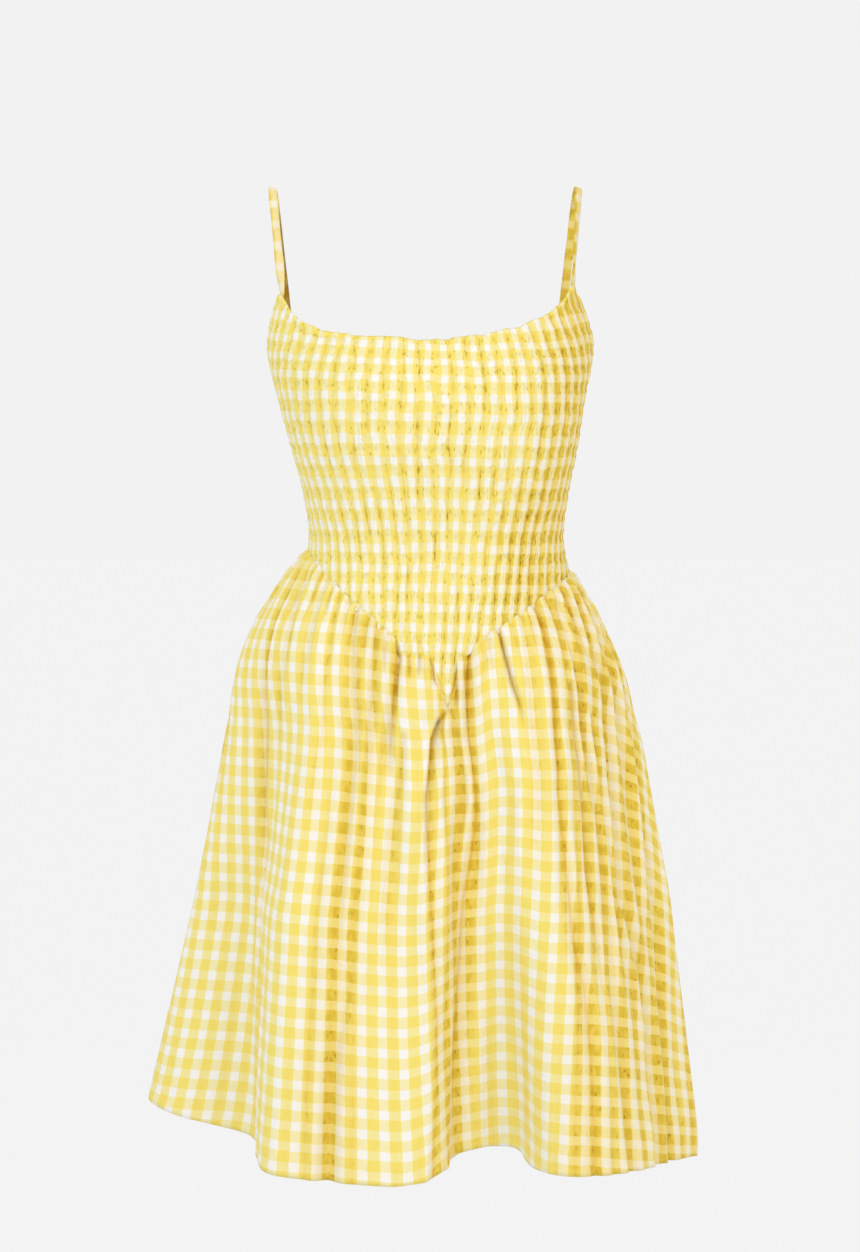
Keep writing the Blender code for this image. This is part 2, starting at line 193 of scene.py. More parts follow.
# Heights of the skirt's first and twenty-sixth white rows, counted from the hem, by share.
ROWS_BETWEEN = 25
FRONT_LOW_ROW = [(-1.0, -0.846), (-0.68, -0.846), (-0.50, -0.852), (-0.33, -0.855),
                 (-0.20, -0.861), (-0.12, -0.864), (-0.07, -0.860), (0.00, -0.846),
                 (0.05, -0.840), (0.20, -0.8375), (0.27, -0.840), (0.36, -0.850),
                 (0.50, -0.853), (0.60, -0.860), (0.70, -0.868), (0.80, -0.880), (1.0, -0.895)]
FRONT_HIGH_ROW = [(-1.0, -0.409), (-0.70, -0.4075), (-0.45, -0.4075), (-0.30, -0.4105),
                  (-0.12, -0.418), (0.00, -0.421), (0.14, -0.421), (0.20, -0.412),
                  (0.30, -0.410), (0.45, -0.410), (0.60, -0.416), (0.75, -0.427),
                  (0.85, -0.438), (0.92, -0.454), (1.0, -0.475)]
BACK_LOW_ROW = [(-1.0, -0.846), (-0.5, -0.838), (0.0, -0.842), (0.5, -0.856), (1.0, -0.895)]
BACK_HIGH_ROW = [(-1.0, -0.409), (0.0, -0.412), (1.0, -0.475)]

# Heights of the white rows of the bodice at the centre and at the side.
BODICE_ROWS = [
    # row  centre   side
    (-2, -0.1240, -0.1010),
    (-1, -0.1370, -0.1190),
    (0, -0.1500, -0.1380),
    (1, -0.1625, -0.1560),
    (2, -0.1770, -0.1720),
    (3, -0.1940, -0.1910),
    (4, -0.2110, -0.2100),
    (5, -0.2310, -0.2300),
    (6, -0.2490, -0.2480),
    (7, -0.2680, -0.2680),
    (10, -0.3250, -0.3250),
    (15, -0.4110, -0.4110),
    (17, -0.4470, -0.4470),
]
ROW_TILT = 0.03              # the rows drop toward the right by this share of the way
ROW_SHIFT = 0.3              # and by this part of a row in the right half
COLUMN_SHIFT = -0.4          # columns of the bust that lie to the left, fading by the waist
SEAM_TUCK = 0.004            # how far the bodice runs down under the skirt's gathers
BODICE_BACK_ROWS = 0.6       # the shorter back has this share of the front's rows of faces
SKIRT_BACK_ROWS = 0.8
HEM_REACHED = -0.84          # a fold that ends below this runs through the hem

GATHER_TOP = 2.4             # half width in millimetres at the top of every short gather


def short_gathers(rows):
    """Fold rows for the short straight gathers under a seam."""
    return [(depth, GATHER_TOP, width, lip, ((top_share, top), (end_share, end)))
            for depth, width, lip, top_share, top, end_share, end in rows]


# Folds that run down the skirt, all placed one by one. Each has its depth and its half width at
# the top and at the bottom in millimetres, 1 or -1 where it folds over toward the right or the
# left, and its path as shares and heights. One that ends at a hem runs through it.
FRONT_CREASES = [
    # depth, top, bottom, lip, path
    (5.0, 3.0, 6.0, 1, ((-0.170, -0.400), (-0.182, -0.443), (-0.205, -0.486), (-0.215, -0.540))),
    (4.2, 4.2, 6.0, -1, ((0.030, -0.462), (0.000, -0.4690), (-0.036, -0.486), (-0.064, -0.536),
                         (-0.050, -0.580), (-0.030, -0.640))),
    (3.4, 4.2, 7.0, -1, ((0.000, -0.4690), (-0.036, -0.486), (-0.064, -0.536), (-0.048, -0.580),
                         (-0.025, -0.650), (-0.016, -0.728), (-0.028, -0.800),
                         (-0.050, -0.880))),
    (4.5, 1.9, 2.6, 1, ((0.078, -0.423), (0.078, -0.4483), (0.068, -0.4700))),
    (6.5, 3.4, 11.0, -1, ((0.140, -0.406), (0.118, -0.437), (0.104, -0.486), (0.118, -0.537),
                          (0.112, -0.573), (0.098, -0.626), (0.080, -0.715), (0.060, -0.780),
                          (0.046, -0.880))),
    (6.5, 1.9, 2.8, 1, ((0.278, -0.388), (0.288, -0.412), (0.303, -0.439), (0.318, -0.455),
                        (0.324, -0.490))),
    (4.2, 3.2, 9.0, 1, ((0.480, -0.366), (0.494, -0.392), (0.480, -0.422), (0.462, -0.464),
                        (0.425, -0.530), (0.436, -0.600), (0.455, -0.660), (0.493, -0.705),
                        (0.510, -0.765), (0.516, -0.890))),
    (4.5, 4.0, 6.5, 0, ((-0.400, -0.372), (-0.365, -0.416), (-0.346, -0.456), (-0.342, -0.537),
                        (-0.325, -0.590), (-0.308, -0.673), (-0.310, -0.796),
                        (-0.312, -0.890))),
    (3.8, 3.0, 6.5, 0, ((-0.275, -0.386), (-0.266, -0.451), (-0.280, -0.503), (-0.280, -0.540),
                        (-0.268, -0.623), (-0.276, -0.708), (-0.296, -0.760),
                        (-0.302, -0.890))),
    (5.5, 4.0, 8.0, -1, ((0.770, -0.354), (0.735, -0.412), (0.765, -0.458), (0.715, -0.546),
                         (0.690, -0.634), (0.760, -0.700), (0.775, -0.771), (0.757, -0.890))),
    (5.0, 3.5, 8.0, 0, ((0.835, -0.352), (0.850, -0.405), (0.855, -0.459), (0.838, -0.532),
                        (0.800, -0.620), (0.850, -0.740))),
    (4.5, 4.0, 9.0, 0, ((0.040, -0.452), (0.070, -0.490), (0.073, -0.538), (0.062, -0.625),
                        (0.040, -0.712), (0.020, -0.802), (-0.005, -0.880))),
    (3.2, 3.0, 7.0, 0, ((-0.150, -0.480), (-0.175, -0.538), (-0.170, -0.589),
                        (-0.162, -0.666), (-0.152, -0.730))),
    (3.4, 3.0, 8.0, 0, ((0.400, -0.376), (0.383, -0.409), (0.368, -0.452), (0.350, -0.503),
                        (0.325, -0.571), (0.330, -0.660))),
    (3.0, 3.0, 8.0, 0, ((-0.505, -0.358), (-0.470, -0.408), (-0.473, -0.469), (-0.465, -0.537),
                        (-0.440, -0.620))),
    (3.2, 3.0, 7.0, 0, ((-0.790, -0.333), (-0.690, -0.402), (-0.700, -0.455),
                        (-0.715, -0.540))),
    (3.2, 3.0, 7.0, 0, ((-0.610, -0.346), (-0.575, -0.409), (-0.590, -0.480))),
    (5.0, 4.0, 7.0, 1, ((-0.850, -0.330), (-0.800, -0.404), (-0.790, -0.457), (-0.755, -0.546),
                        (-0.685, -0.632), (-0.618, -0.719), (-0.580, -0.806),
                        (-0.570, -0.890))),
    (4.6, 3.0, 6.0, 0, ((0.600, -0.372), (0.600, -0.440), (0.590, -0.500), (0.610, -0.560),
                        (0.612, -0.620), (0.600, -0.690), (0.620, -0.790), (0.640, -0.890))),
    (4.2, 3.0, 5.0, 1, ((0.560, -0.440), (0.545, -0.520), (0.535, -0.600), (0.560, -0.700),
                        (0.570, -0.780))),
    (4.0, 3.0, 5.0, 0, ((0.660, -0.470), (0.650, -0.560), (0.655, -0.640), (0.690, -0.720),
                        (0.700, -0.800))),
    (4.2, 3.0, 6.0, 0, ((0.940, -0.400), (0.930, -0.480), (0.900, -0.570), (0.890, -0.680),
                        (0.860, -0.780), (0.850, -0.890))),
    (6.0, 2.0, 3.4, -1, ((-0.180, -0.400), (-0.162, -0.416), (-0.172, -0.442),
                         (-0.190, -0.486))),
    (3.2, 2.2, 2.8, 1, ((-0.122, -0.412), (-0.118, -0.426), (-0.124, -0.440))),
    (3.2, 2.2, 2.8, -1, ((-0.078, -0.413), (-0.080, -0.424), (-0.086, -0.436))),
    (5.0, 1.8, 2.6, 1, ((-0.024, -0.416), (-0.014, -0.432), (0.010, -0.446))),
] + short_gathers([
    # depth, end width, lip, top share and height, end share and height
    (3.0, 4.0, 0, -0.225, -0.393, -0.235, -0.440),
    (3.0, 4.0, 0, -0.330, -0.377, -0.320, -0.420),
    (3.0, 4.0, 0, -0.445, -0.364, -0.430, -0.410),
    (3.0, 4.0, 0, -0.560, -0.352, -0.530, -0.390),
    (3.0, 4.0, 0, -0.660, -0.341, -0.630, -0.385),
    (3.0, 4.0, 0, -0.730, -0.337, -0.745, -0.390),
    (3.0, 4.0, 0, -0.930, -0.327, -0.900, -0.390),
    (3.0, 4.0, 0, 0.120, -0.408, 0.105, -0.440),
    (3.2, 4.0, 0, 0.220, -0.395, 0.218, -0.440),
    (2.8, 4.0, 0, 0.345, -0.384, 0.350, -0.425),
    (3.0, 4.0, 0, 0.435, -0.374, 0.440, -0.420),
    (3.4, 4.5, 0, 0.560, -0.363, 0.570, -0.430),
    (3.0, 4.0, 0, 0.620, -0.358, 0.640, -0.410),
    (3.4, 5.0, 1, 0.690, -0.355, 0.680, -0.430),
    (3.0, 4.5, 0, 0.910, -0.347, 0.920, -0.440),
])
BACK_CREASES = [
    # depth, top, bottom, lip, path
    (5.0, 4.0, 8.0, 1, ((-0.860, -0.327), (-0.830, -0.420), (-0.790, -0.560), (-0.760, -0.700),
                        (-0.750, -0.890))),
    (4.0, 3.0, 7.0, 0, ((-0.680, -0.329), (-0.700, -0.440), (-0.670, -0.560))),
    (6.0, 4.0, 9.0, 0, ((-0.540, -0.331), (-0.560, -0.430), (-0.520, -0.580), (-0.530, -0.730),
                        (-0.520, -0.890))),
    (4.0, 3.0, 7.0, -1, ((-0.400, -0.333), (-0.380, -0.420), (-0.390, -0.540))),
    (6.5, 4.0, 10.0, 0, ((-0.250, -0.335), (-0.280, -0.440), (-0.270, -0.600), (-0.240, -0.740),
                         (-0.250, -0.890))),
    (4.5, 3.0, 7.0, 0, ((-0.080, -0.337), (-0.060, -0.430), (-0.075, -0.590))),
    (4.0, 3.0, 8.0, 1, ((0.060, -0.338), (0.070, -0.420), (0.050, -0.520), (0.060, -0.650))),
    (6.5, 4.0, 10.0, -1, ((0.230, -0.340), (0.220, -0.430), (0.250, -0.580), (0.260, -0.720),
                          (0.250, -0.890))),
    (4.0, 3.0, 7.0, 0, ((0.370, -0.341), (0.400, -0.450), (0.390, -0.560))),
    (5.5, 4.0, 9.0, 0, ((0.520, -0.342), (0.510, -0.430), (0.540, -0.570), (0.530, -0.730),
                        (0.540, -0.890))),
    (4.0, 3.0, 7.0, 0, ((0.670, -0.343), (0.690, -0.430), (0.680, -0.550))),
    (5.0, 4.0, 8.0, -1, ((0.840, -0.344), (0.820, -0.440), (0.800, -0.570), (0.770, -0.720),
                         (0.780, -0.890))),
] + short_gathers([
    # depth, end width, lip, top share and height, end share and height
    (3.0, 4.0, 0, -0.940, -0.326, -0.930, -0.390),
    (3.0, 4.0, 0, -0.780, -0.328, -0.790, -0.380),
    (3.2, 4.0, 0, -0.610, -0.330, -0.600, -0.390),
    (3.0, 4.0, 0, -0.465, -0.332, -0.470, -0.380),
    (3.4, 4.0, 0, -0.325, -0.334, -0.320, -0.400),
    (3.0, 4.0, 0, -0.170, -0.336, -0.180, -0.385),
    (3.2, 4.0, 0, -0.005, -0.338, 0.000, -0.395),
    (3.0, 4.0, 0, 0.150, -0.339, 0.155, -0.390),
    (3.4, 4.0, 0, 0.300, -0.340, 0.305, -0.400),
    (3.0, 4.0, 0, 0.450, -0.341, 0.445, -0.385),
    (3.2, 4.0, 0, 0.595, -0.342, 0.605, -0.395),
    (3.0, 4.0, 0, 0.755, -0.343, 0.760, -0.390),
    (3.0, 4.0, 0, 0.930, -0.344, 0.925, -0.400),
])
CREASE_FADE = 0.45           # share of a crease's length over which it dies away
TOP_STITCH = 0.0078          # from the bodice's top edge down to its line of stitches
STITCH_REACH = 0.0010        # how far a line of stitches dimples the cloth on each side
HALF_PANEL = 0.19            # about half a bodice panel's width round the figure
THREADS_A_REPEAT = 18.0      # threads in one white and one yellow stripe, drawn coarser
THREAD_MIX = 0.28            # how far a single thread shows its own colour
PINCHES_A_METRE = (300.0, 92.0, 1.0)    # across and up the cloth
PINCH_BEND = (0.0050, 0.0030, 0.0)      # how far a pinch wanders across and up the cloth
CRINKLE_DEPTH, THREAD_DEPTH = 0.0016, 0.0002

# How strongly small folds follow the yellow columns, and how much painted shade the cloth gets for
# facing away from the light, by share.
FRONT_SMALL_FOLDS_AND_SHADE = [(-1.0, 0.25), (-0.86, 0.15), (-0.74, 0.30), (-0.60, 0.05), (-0.44, 0.10),
               (-0.37, 0.60), (-0.27, 0.60), (-0.20, 0.10), (-0.08, 0.15), (0.00, 0.50),
               (0.13, 0.50), (0.20, 0.05), (0.38, 0.10), (0.46, 0.65), (0.60, 0.80),
               (0.82, 0.85), (1.0, 0.70)]
BACK_SMALL_FOLDS_AND_SHADE = [(-1.0, 0.60), (-0.80, 0.45), (-0.55, 0.20), (-0.30, 0.40), (-0.10, 0.15),
              (0.20, 0.40), (0.45, 0.20), (0.70, 0.40), (1.0, 0.55)]


# ---------------------------------------------------------------- settings in the sidebar
def colour_setting(name, description, default):
    """A colour in the sidebar."""
    return FloatVectorProperty(name=name, description=description, subtype="COLOR", size=3,
                               default=default)


def length_setting(name, description, default, low, high):
    """A length in metres in the sidebar."""
    return FloatProperty(name=name, description=description, default=default, min=low,
                         max=high, unit="LENGTH")


def count_setting(name, description, default, low, high):
    """A whole number in the sidebar."""
    return IntProperty(name=name, description=description, default=default, min=low, max=high)


def power_setting(name, description, default):
    """A light's power in watts in the sidebar."""
    return FloatProperty(name=name, description=description, default=default, min=0.0,
                         unit="POWER")


class SundressCloth(bpy.types.PropertyGroup):
    """Colours and thickness of the gingham, and the tints of painted shade in its folds and
    creases.
    """

    white: colour_setting("White", "Both threads white", (0.80, 0.79, 0.76))
    pale: colour_setting("Pale yellow", "One thread yellow", (0.79, 0.710, 0.312))
    yellow: colour_setting("Yellow", "Both threads yellow", (0.79, 0.650, 0.145))
    # Painted shade: the tints at the bottom of a fold, on yellow squares in a fold, along a sharp
    # crease and in a fine short crease.
    fold: colour_setting("Fold", "Tint at the bottom of a fold", (0.97, 0.87, 0.60))
    square: colour_setting("Fold square", "Tint of yellow in a fold", (0.82, 0.77, 0.38))
    pinch: colour_setting("Pinch", "Tint along a sharp crease", (0.84, 0.64, 0.28))
    crease: colour_setting("Crease", "Tint of a fine short crease", (0.70, 0.64, 0.12))
    thickness: length_setting("Thickness", "Thickness of the cloth", 0.0006, 0.0002, 0.002)


class SundressBodice(bpy.types.PropertyGroup):
    """Shirring of the bodice."""

    groove: length_setting("Groove", "Depth of a shirring groove", 0.0021, 0.0, 0.005)
    pinch: length_setting("Pinch", "How far a stitched row pulls the cloth in",
                          0.0007, 0.0, 0.003)
    columns: count_setting("Columns", "Faces across a bodice panel", 400, 60, 480)
    rows: count_setting("Rows", "Faces down the front bodice panel", 118, 60, 240)


class SundressSkirt(bpy.types.PropertyGroup):
    """Gathers and folds of the skirt."""

    puff: length_setting("Puff", "How far the gathered cloth stands out", 0.0035, 0.0, 0.01)
    ripple: length_setting("Ripple", "Height of the soft uneven folds", 0.0022, 0.0, 0.01)
    hem: length_setting("Hem", "Width of the turned hem", 0.009, 0.003, 0.03)
    columns: count_setting("Columns", "Faces across a skirt panel", 370, 60, 480)
    rows: count_setting("Rows", "Faces down the front skirt panel", 128, 60, 240)


class SundressStraps(bpy.types.PropertyGroup):
    """The rouleau straps."""

    width: length_setting("Width", "Width of a strap", 0.0076, 0.003, 0.02)
    thickness: length_setting("Thickness", "Thickness of a strap", 0.0026, 0.001, 0.008)
    shade: colour_setting("Shade", "Tint of a shaded stretch of strap", (0.45, 0.33, 0.26))


class SundressStage(bpy.types.PropertyGroup):
    """Backdrop, lights and camera."""

    backdrop: colour_setting("Backdrop", "Colour of the floor and wall",
                             (0.888, 0.888, 0.888))
    key: power_setting("Key light", "Power of the main light", 33.2)
    fill: power_setting("Fill light", "Power of the second light", 25.0)
    rear: power_setting("Rear light", "Power of the light behind", 26.0)


# ---------------------------------------------------------------- small tools
def ease(value):
    """0 below 0, 1 above 1 and a smooth step between, for numbers or arrays."""
    value = np.clip(value, 0.0, 1.0)
    return value * value * (3 - 2 * value)


def along(table, share):
    """Read a two-column table at shares, straight between its rows."""
    return np.interp(share, [row[0] for row in table], [row[1] for row in table])


def rounded(table, share, reach=0.02):
    """Read a two-column table with its corners rounded over a short reach."""
    steps = (-1.0, -0.5, 0.0, 0.5, 1.0)
    return sum(along(table, share + reach * step) for step in steps) / len(steps)


def uneven(x, y, seed):
    """Smooth values from -1 to 1 that vary over a plane, about one change per unit."""
    size = 64
    lattice = np.random.default_rng(seed).uniform(-1.0, 1.0, (size, size))
    i, j = np.floor(x).astype(int), np.floor(y).astype(int)
    u, v = ease(x - i), ease(y - j)
    near = lattice[i % size, j % size] * (1 - u) + lattice[(i + 1) % size, j % size] * u
    far = (lattice[i % size, (j + 1) % size] * (1 - u)
           + lattice[(i + 1) % size, (j + 1) % size] * u)
    return near * (1 - v) + far * v


def even_line(across, out, count):
    """The same line in plan with its points spaced evenly along it."""
    steps = np.hypot(np.diff(across), np.diff(out))
    length = np.concatenate(([0.0], np.cumsum(steps)))
    target = np.linspace(0.0, length[-1], count)
    return np.column_stack((np.interp(target, length, across), np.interp(target, length, out)))


def smooth_line(points, per_span=12):
    """A Catmull-Rom curve through fold lines at one height, round at the side seams."""
    mirrored = points * (1, -1)
    points = np.vstack((mirrored[1], points, mirrored[-2]))
    curve = []
    for before, start, end, after in zip(points, points[1:], points[2:], points[3:]):
        for t in np.linspace(0, 1, per_span, endpoint=False):
            curve.append(0.5 * (2 * start + (end - before) * t
                                + (2 * before - 5 * start + 4 * end - after) * t ** 2
                                + (3 * start - before - 3 * end + after) * t ** 3))
    curve.append(points[-2])
    return np.array(curve)


# ---------------------------------------------------------------- sections as stacks
class Stack:
    """Plans of a garment at even heights, read at any height and share between them."""

    def __init__(self, plan, low, high, step):
        count = int(round((high - low) / step)) + 1
        self.low = low
        self.step = step
        plans = []
        for level in np.linspace(low, high, count):
            near = [plan(level + SMOOTHING * shift) for shift in (-1.0, -0.5, 0.0, 0.5, 1.0)]
            plans.append(sum(near) / len(near))
        self.plans = np.array(plans)

    def read(self, height, share):
        """Points (across, out) at arrays of heights and shares."""
        i = np.clip((height - self.low) / self.step, 0, len(self.plans) - 1.001)
        j = np.clip((share + 1) / 2 * (SECTION_POINTS - 1), 0, SECTION_POINTS - 1.001)
        i0, j0 = i.astype(int), j.astype(int)
        u, v = (i - i0)[..., None], (j - j0)[..., None]
        lower = self.plans[i0, j0] * (1 - v) + self.plans[i0, j0 + 1] * v
        upper = self.plans[i0 + 1, j0] * (1 - v) + self.plans[i0 + 1, j0 + 1] * v
        return lower * (1 - u) + upper * u


def figure_plan(back):
    """A function that gives the bodice's plan at a height."""
    heights = [-row[0] for row in FIGURE]
    angle = np.linspace(-math.pi / 2, math.pi / 2, SECTION_POINTS)
    round_x = np.sign(angle) * np.abs(np.sin(angle)) ** (2 / SECTION_POWER)
    round_y = np.abs(np.cos(angle)) ** (2 / SECTION_POWER)

    def plan(height):
        left, right, front, rear = (np.interp(-height, heights, [row[i] for row in FIGURE])
                                    for i in (1, 2, 3, 4))
        across = (right - left) / 2 + (left + right) / 2 * round_x
        return even_line(across, (rear if back else front) * round_y, SECTION_POINTS)

    return plan


def skirt_plan(folds):
    """A function that gives the free skirt's plan at a height."""
    levels = [-level for level in PLAN_HEIGHTS]
    table = np.array(folds, dtype=float) / 1000

    def plan(height):
        points = np.column_stack([[np.interp(-height, levels, row[k::2]) for row in table]
                                  for k in (0, 1)])
        line = smooth_line(points)
        return even_line(line[:, 0], line[:, 1], SECTION_POINTS)

    return plan


def surface_normals(points, back):
    """Unit normals that point out of a sheet given as rows of points from its top."""
    along_row = np.gradient(points, axis=1)
    down_column = np.gradient(points, axis=0)
    normals = np.cross(down_column, along_row)
    normals /= np.linalg.norm(normals, axis=2, keepdims=True)
    return -normals if back else normals


# ---------------------------------------------------------------- sheets of cloth
def grid_piece(name, points, cloth, shade_marks, back, material, nodes, tube=False):
    """A sheet made from a grid, with its points, its cloth map and the painted shade of its folds
    and creases, kept as attributes.

    A tube's first and last columns are sewn together and its ends are closed. Any other
    sheet is given its thickness inwards.
    """
    rows, columns = points.shape[:2]
    bpy.ops.object.select_all(action="DESELECT")
    bpy.ops.mesh.primitive_grid_add(x_subdivisions=columns - 1, y_subdivisions=rows - 1,
                                    size=1.0, calc_uvs=True)
    piece = bpy.context.object
    piece.name = name
    piece.data.name = name
    turn = slice(None, None, -1) if back else slice(None)
    flat = [table[::-1, turn].reshape(rows * columns, -1) for table in (points, cloth)]
    mesh = piece.data
    mesh.vertices.foreach_set("co", flat[0].ravel())
    layer = mesh.uv_layers[0]
    layer.name = "cloth"
    corners = np.zeros(len(mesh.loops), dtype=np.int32)
    mesh.loops.foreach_get("vertex_index", corners)
    layer.data.foreach_set("uv", flat[1][corners].ravel())
    for title, values in shade_marks.items():
        attribute = mesh.attributes.new(title, "FLOAT", "POINT")
        values = values[::-1, turn].ravel().astype(np.float32)
        attribute.data.foreach_set("value", values)
    mesh.update()
    mesh.materials.clear()
    mesh.materials.append(material)
    bpy.ops.object.shade_smooth()
    if tube:
        bpy.ops.object.mode_set(mode="EDIT")
        bpy.ops.mesh.select_all(action="SELECT")
        bpy.ops.mesh.remove_doubles(threshold=1e-6)
        bpy.ops.mesh.fill_holes(sides=0)
        bpy.ops.object.mode_set(mode="OBJECT")
    else:
        bpy.ops.object.modifier_add(type="SOLIDIFY")
        wall = piece.modifiers[-1]
        wall.thickness = bpy.context.scene.sundress_cloth.thickness
        wall.offset = -1
        wall.use_quality_normals = True
        bpy.ops.object.modifier_apply(modifier=wall.name)
    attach(piece, "root")
    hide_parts(*nodes)
    return piece


def grooves(columns, rows, pitch, wander, width, share_kept, seed):
    """Sharp upright grooves one pitch apart, each of which drifts and comes and goes."""
    place = columns / pitch
    index = np.floor(place)
    drift = wander * uneven(index * 7.31, rows * 0.8, seed)
    offset = place - index - 0.5 - drift
    strength = np.clip(share_kept + 0.7 * uneven(index * 3.17 + 9, rows * 0.7, seed + 1), 0, 1)
    return np.exp(-np.abs(offset) * pitch / width) * strength


def shirring(columns, rows, share, settings, seed):
    """Out-of-cloth moves of shirred cloth, with the painted shade in its grooves (fold depth) and
    along its sharp creases.
    """
    to_stitch = np.abs(rows - np.floor(rows) - 0.5)
    stitched = np.exp(-(to_stitch / 0.12) ** 2)
    between = np.exp(-((0.5 - to_stitch) / 0.10) ** 2)
    pull = 0.85 + 0.35 * ease((share + 0.35) / 0.9)
    main = grooves(columns, rows, 1.0, 0.15, 0.055, 0.62, seed) * pull
    second = grooves(columns + 0.27, rows, 0.5, 0.30, 0.035, 0.22, seed + 10) * pull
    tucks = grooves(columns, rows * 2.3, 0.26, 0.35, 0.035, 0.15, seed + 20)
    depth = (main * (0.62 + 0.5 * stitched) + second * (0.45 + 0.4 * stitched)
             + tucks * (0.75 * stitched + 0.3 * between))
    swell = 0.5 + 0.5 * np.cos(2 * math.pi * columns)
    out = (-settings.groove * (main * (1 + 0.5 * stitched) + 0.62 * second + 0.45 * tucks
                               * (stitched + 0.5 * between))
           - settings.pinch * (stitched + 0.3 * between)
           + 0.28 * settings.groove * (swell - 0.5) * (1 - 0.6 * stitched))
    return out, np.clip(depth, 0.0, 1.0), main * (0.4 + 0.6 * stitched)


def bodice_row_number(height, share, across):
    """Which gingham row a point of the bodice lies in."""
    side = ease(np.abs(share))
    numbers = [row[0] for row in BODICE_ROWS]
    level = height + ROW_TILT * across
    centre = np.interp(-level, [-row[1] for row in BODICE_ROWS], numbers)
    edge = np.interp(-level, [-row[2] for row in BODICE_ROWS], numbers)
    return centre * (1 - side) + edge * side + ROW_SHIFT * ease(share + 1)


def build_bodice(name, top, bottom, back, rows, seed):
    """A shirred panel with a turned top edge. Its lower edge is tucked under the skirt."""
    scene = bpy.context.scene
    settings = scene.sundress_bodice
    share = np.linspace(-1.0, 1.0, settings.columns + 1)[None, :]
    down = np.linspace(0.0, 1.0, rows + 1)[:, None]
    high = rounded(top, share)
    low = rounded(bottom, share, 0.006) - SEAM_TUCK
    level = np.maximum(low, LEVEL_ROWS)
    height = high + (level - high) * down + (low - level) * down ** POINT_POWER
    share = np.broadcast_to(share, height.shape)
    plan = Stack(figure_plan(back), *BODICE_HEIGHTS).read(height, share)
    side = 1 if back else -1
    points = np.stack((plan[..., 0], side * plan[..., 1], height), axis=2)
    normals = surface_normals(points, back)
    columns = share * np.interp(height, *zip(*(BACK_COLUMNS if back else FRONT_COLUMNS)))
    columns += COLUMN_SHIFT * (1 - np.abs(share)) * ease((height + 0.24) / 0.05)
    number = bodice_row_number(height, share, points[..., 0])
    out, depth, pinch = shirring(columns, number, share, settings, seed)
    from_top = high - height
    from_seam = height - low - SEAM_TUCK
    from_side = (1 - np.abs(share)) * HALF_PANEL
    calm = ease(from_top / 0.006) * ease(from_side / 0.004 + 0.2)
    out = out * (0.3 + 0.7 * calm)
    out -= 0.0012 * (1 - ease(from_top / 0.0016))
    out -= 0.0022 * (1 - ease((from_seam + 0.001) / 0.004))
    stitch = np.exp(-((from_top - TOP_STITCH) / STITCH_REACH) ** 2)
    out -= 0.0009 * stitch
    edge = uneven(columns * 1.15, number * 0 + 3.3, seed + 5)
    fine_edge = uneven(columns * 2.6, number * 0 + 5.1, seed + 6)
    near_top = 1 - ease(from_top / 0.012)
    out += (0.0012 * edge + 0.0006 * fine_edge) * near_top
    points += normals * out[..., None]
    points[..., 2] += (0.0008 * edge + 0.0009 * fine_edge) * near_top
    # How far the cloth is turned from the light, growing toward the right side and lower down; it
    # sets painted shade.
    turned = ease((share - 0.30 + 0.20 * ease((-0.24 - height) / 0.08)) / 0.42)
    hollow_shade = 0.5 - 0.5 * np.cos(2 * math.pi * columns)
    # Painted shade in the hollows between the puffs and over the side turned from the light.
    depth = np.maximum(depth, hollow_shade * (0.15 + 0.60 * turned)
                       + 0.40 * turned + 0.35 * turned ** 3)
    # Painted shade in small rucks along the top stitching and the top edge.
    ruck_shade = grooves(columns, number * 0 + 1.7, 0.42, 0.35, 0.10, 0.35, seed + 7)
    depth = np.clip(depth * calm + ruck_shade * (0.75 * stitch + 0.35 * near_top), 0.0, 1.0)
    jog = 0.09 * uneven(np.floor(columns + 0.5) * 5.7, number * 0.9, seed + 8)
    number = number + jog * ease((0.5 - np.abs(columns - np.round(columns))) / 0.12)
    shuffle = 0.10 * uneven(columns * 0.9, number * 1.3, seed + 9)
    cloth = np.stack(((columns + shuffle) * REPEAT, -number * REPEAT), axis=2)
    # Both attributes are painted shade: in the folds (crease) and along sharp creases (pinch).
    shade_marks = {"crease": depth, "pinch": pinch * calm * (0.35 + 0.5 * turned)}
    return grid_piece(name + "_cloth", points, cloth, shade_marks, back,
                      gingham_material("shirred cloth", 1.0, 0.41, 2.1,
                                       scene.sundress_cloth.pinch), [name])


def crease_moves(creases, share, height, half_width):
    """Out-of-cloth moves of the listed folds, with the painted shade in them (fold depth) and
    along their sharp creases.
    """
    out, depth, pinch = (np.zeros(share.shape) for _ in range(3))
    for deep, top_width, end_width, lip, path in creases:
        top, end = path[0][1], path[-1][1]
        levels = -height
        middle = np.interp(levels, [-point[1] for point in path], [point[0] for point in path])
        run = np.clip((top - height) / (top - end), -0.5, 1.0)
        width = top_width + (end_width - top_width) * np.clip(run, 0.0, 1.0) ** 0.8
        across = (share - middle) * half_width * 1000 / width
        runs_through = end < HEM_REACHED
        fade = ease((top + 0.003 - height) / 0.004)
        if not runs_through:
            fade = fade * ease((1 - run) / (1 - CREASE_FADE))
        # A fold that laps over gets painted shade along its lip.
        if lip:
            across = np.where(across * lip > 0, across * 1.7, across * 0.8)
            line = np.exp(-(across * width / 1.6) ** 2) * fade * (1.0 - 0.6 * np.clip(run, 0, 1))
            pinch = np.maximum(pinch, line * min(deep / 5.0, 1.0))
        sharp = np.exp(-np.abs(across) ** 1.2)
        soft = np.exp(-(across / 1.15) ** 2)
        mix = np.clip((width - 3.0) / 5.0, 0.0, 0.75)
        groove = (sharp * (1 - mix) + soft * mix) * fade
        shoulder = np.exp(-((np.abs(across) - 2.1) / 0.9) ** 2) * fade
        out += deep / 1000 * (0.26 * shoulder - groove)
        # Painted shade at the bottom of a fold and a little around it.
        around = 0.30 * np.exp(-(across / 1.9) ** 2) * fade
        depth = np.maximum(depth, np.maximum(groove, around) * min(deep / 5.0, 1.0))
    return out, np.clip(depth, 0.0, 1.0), pinch


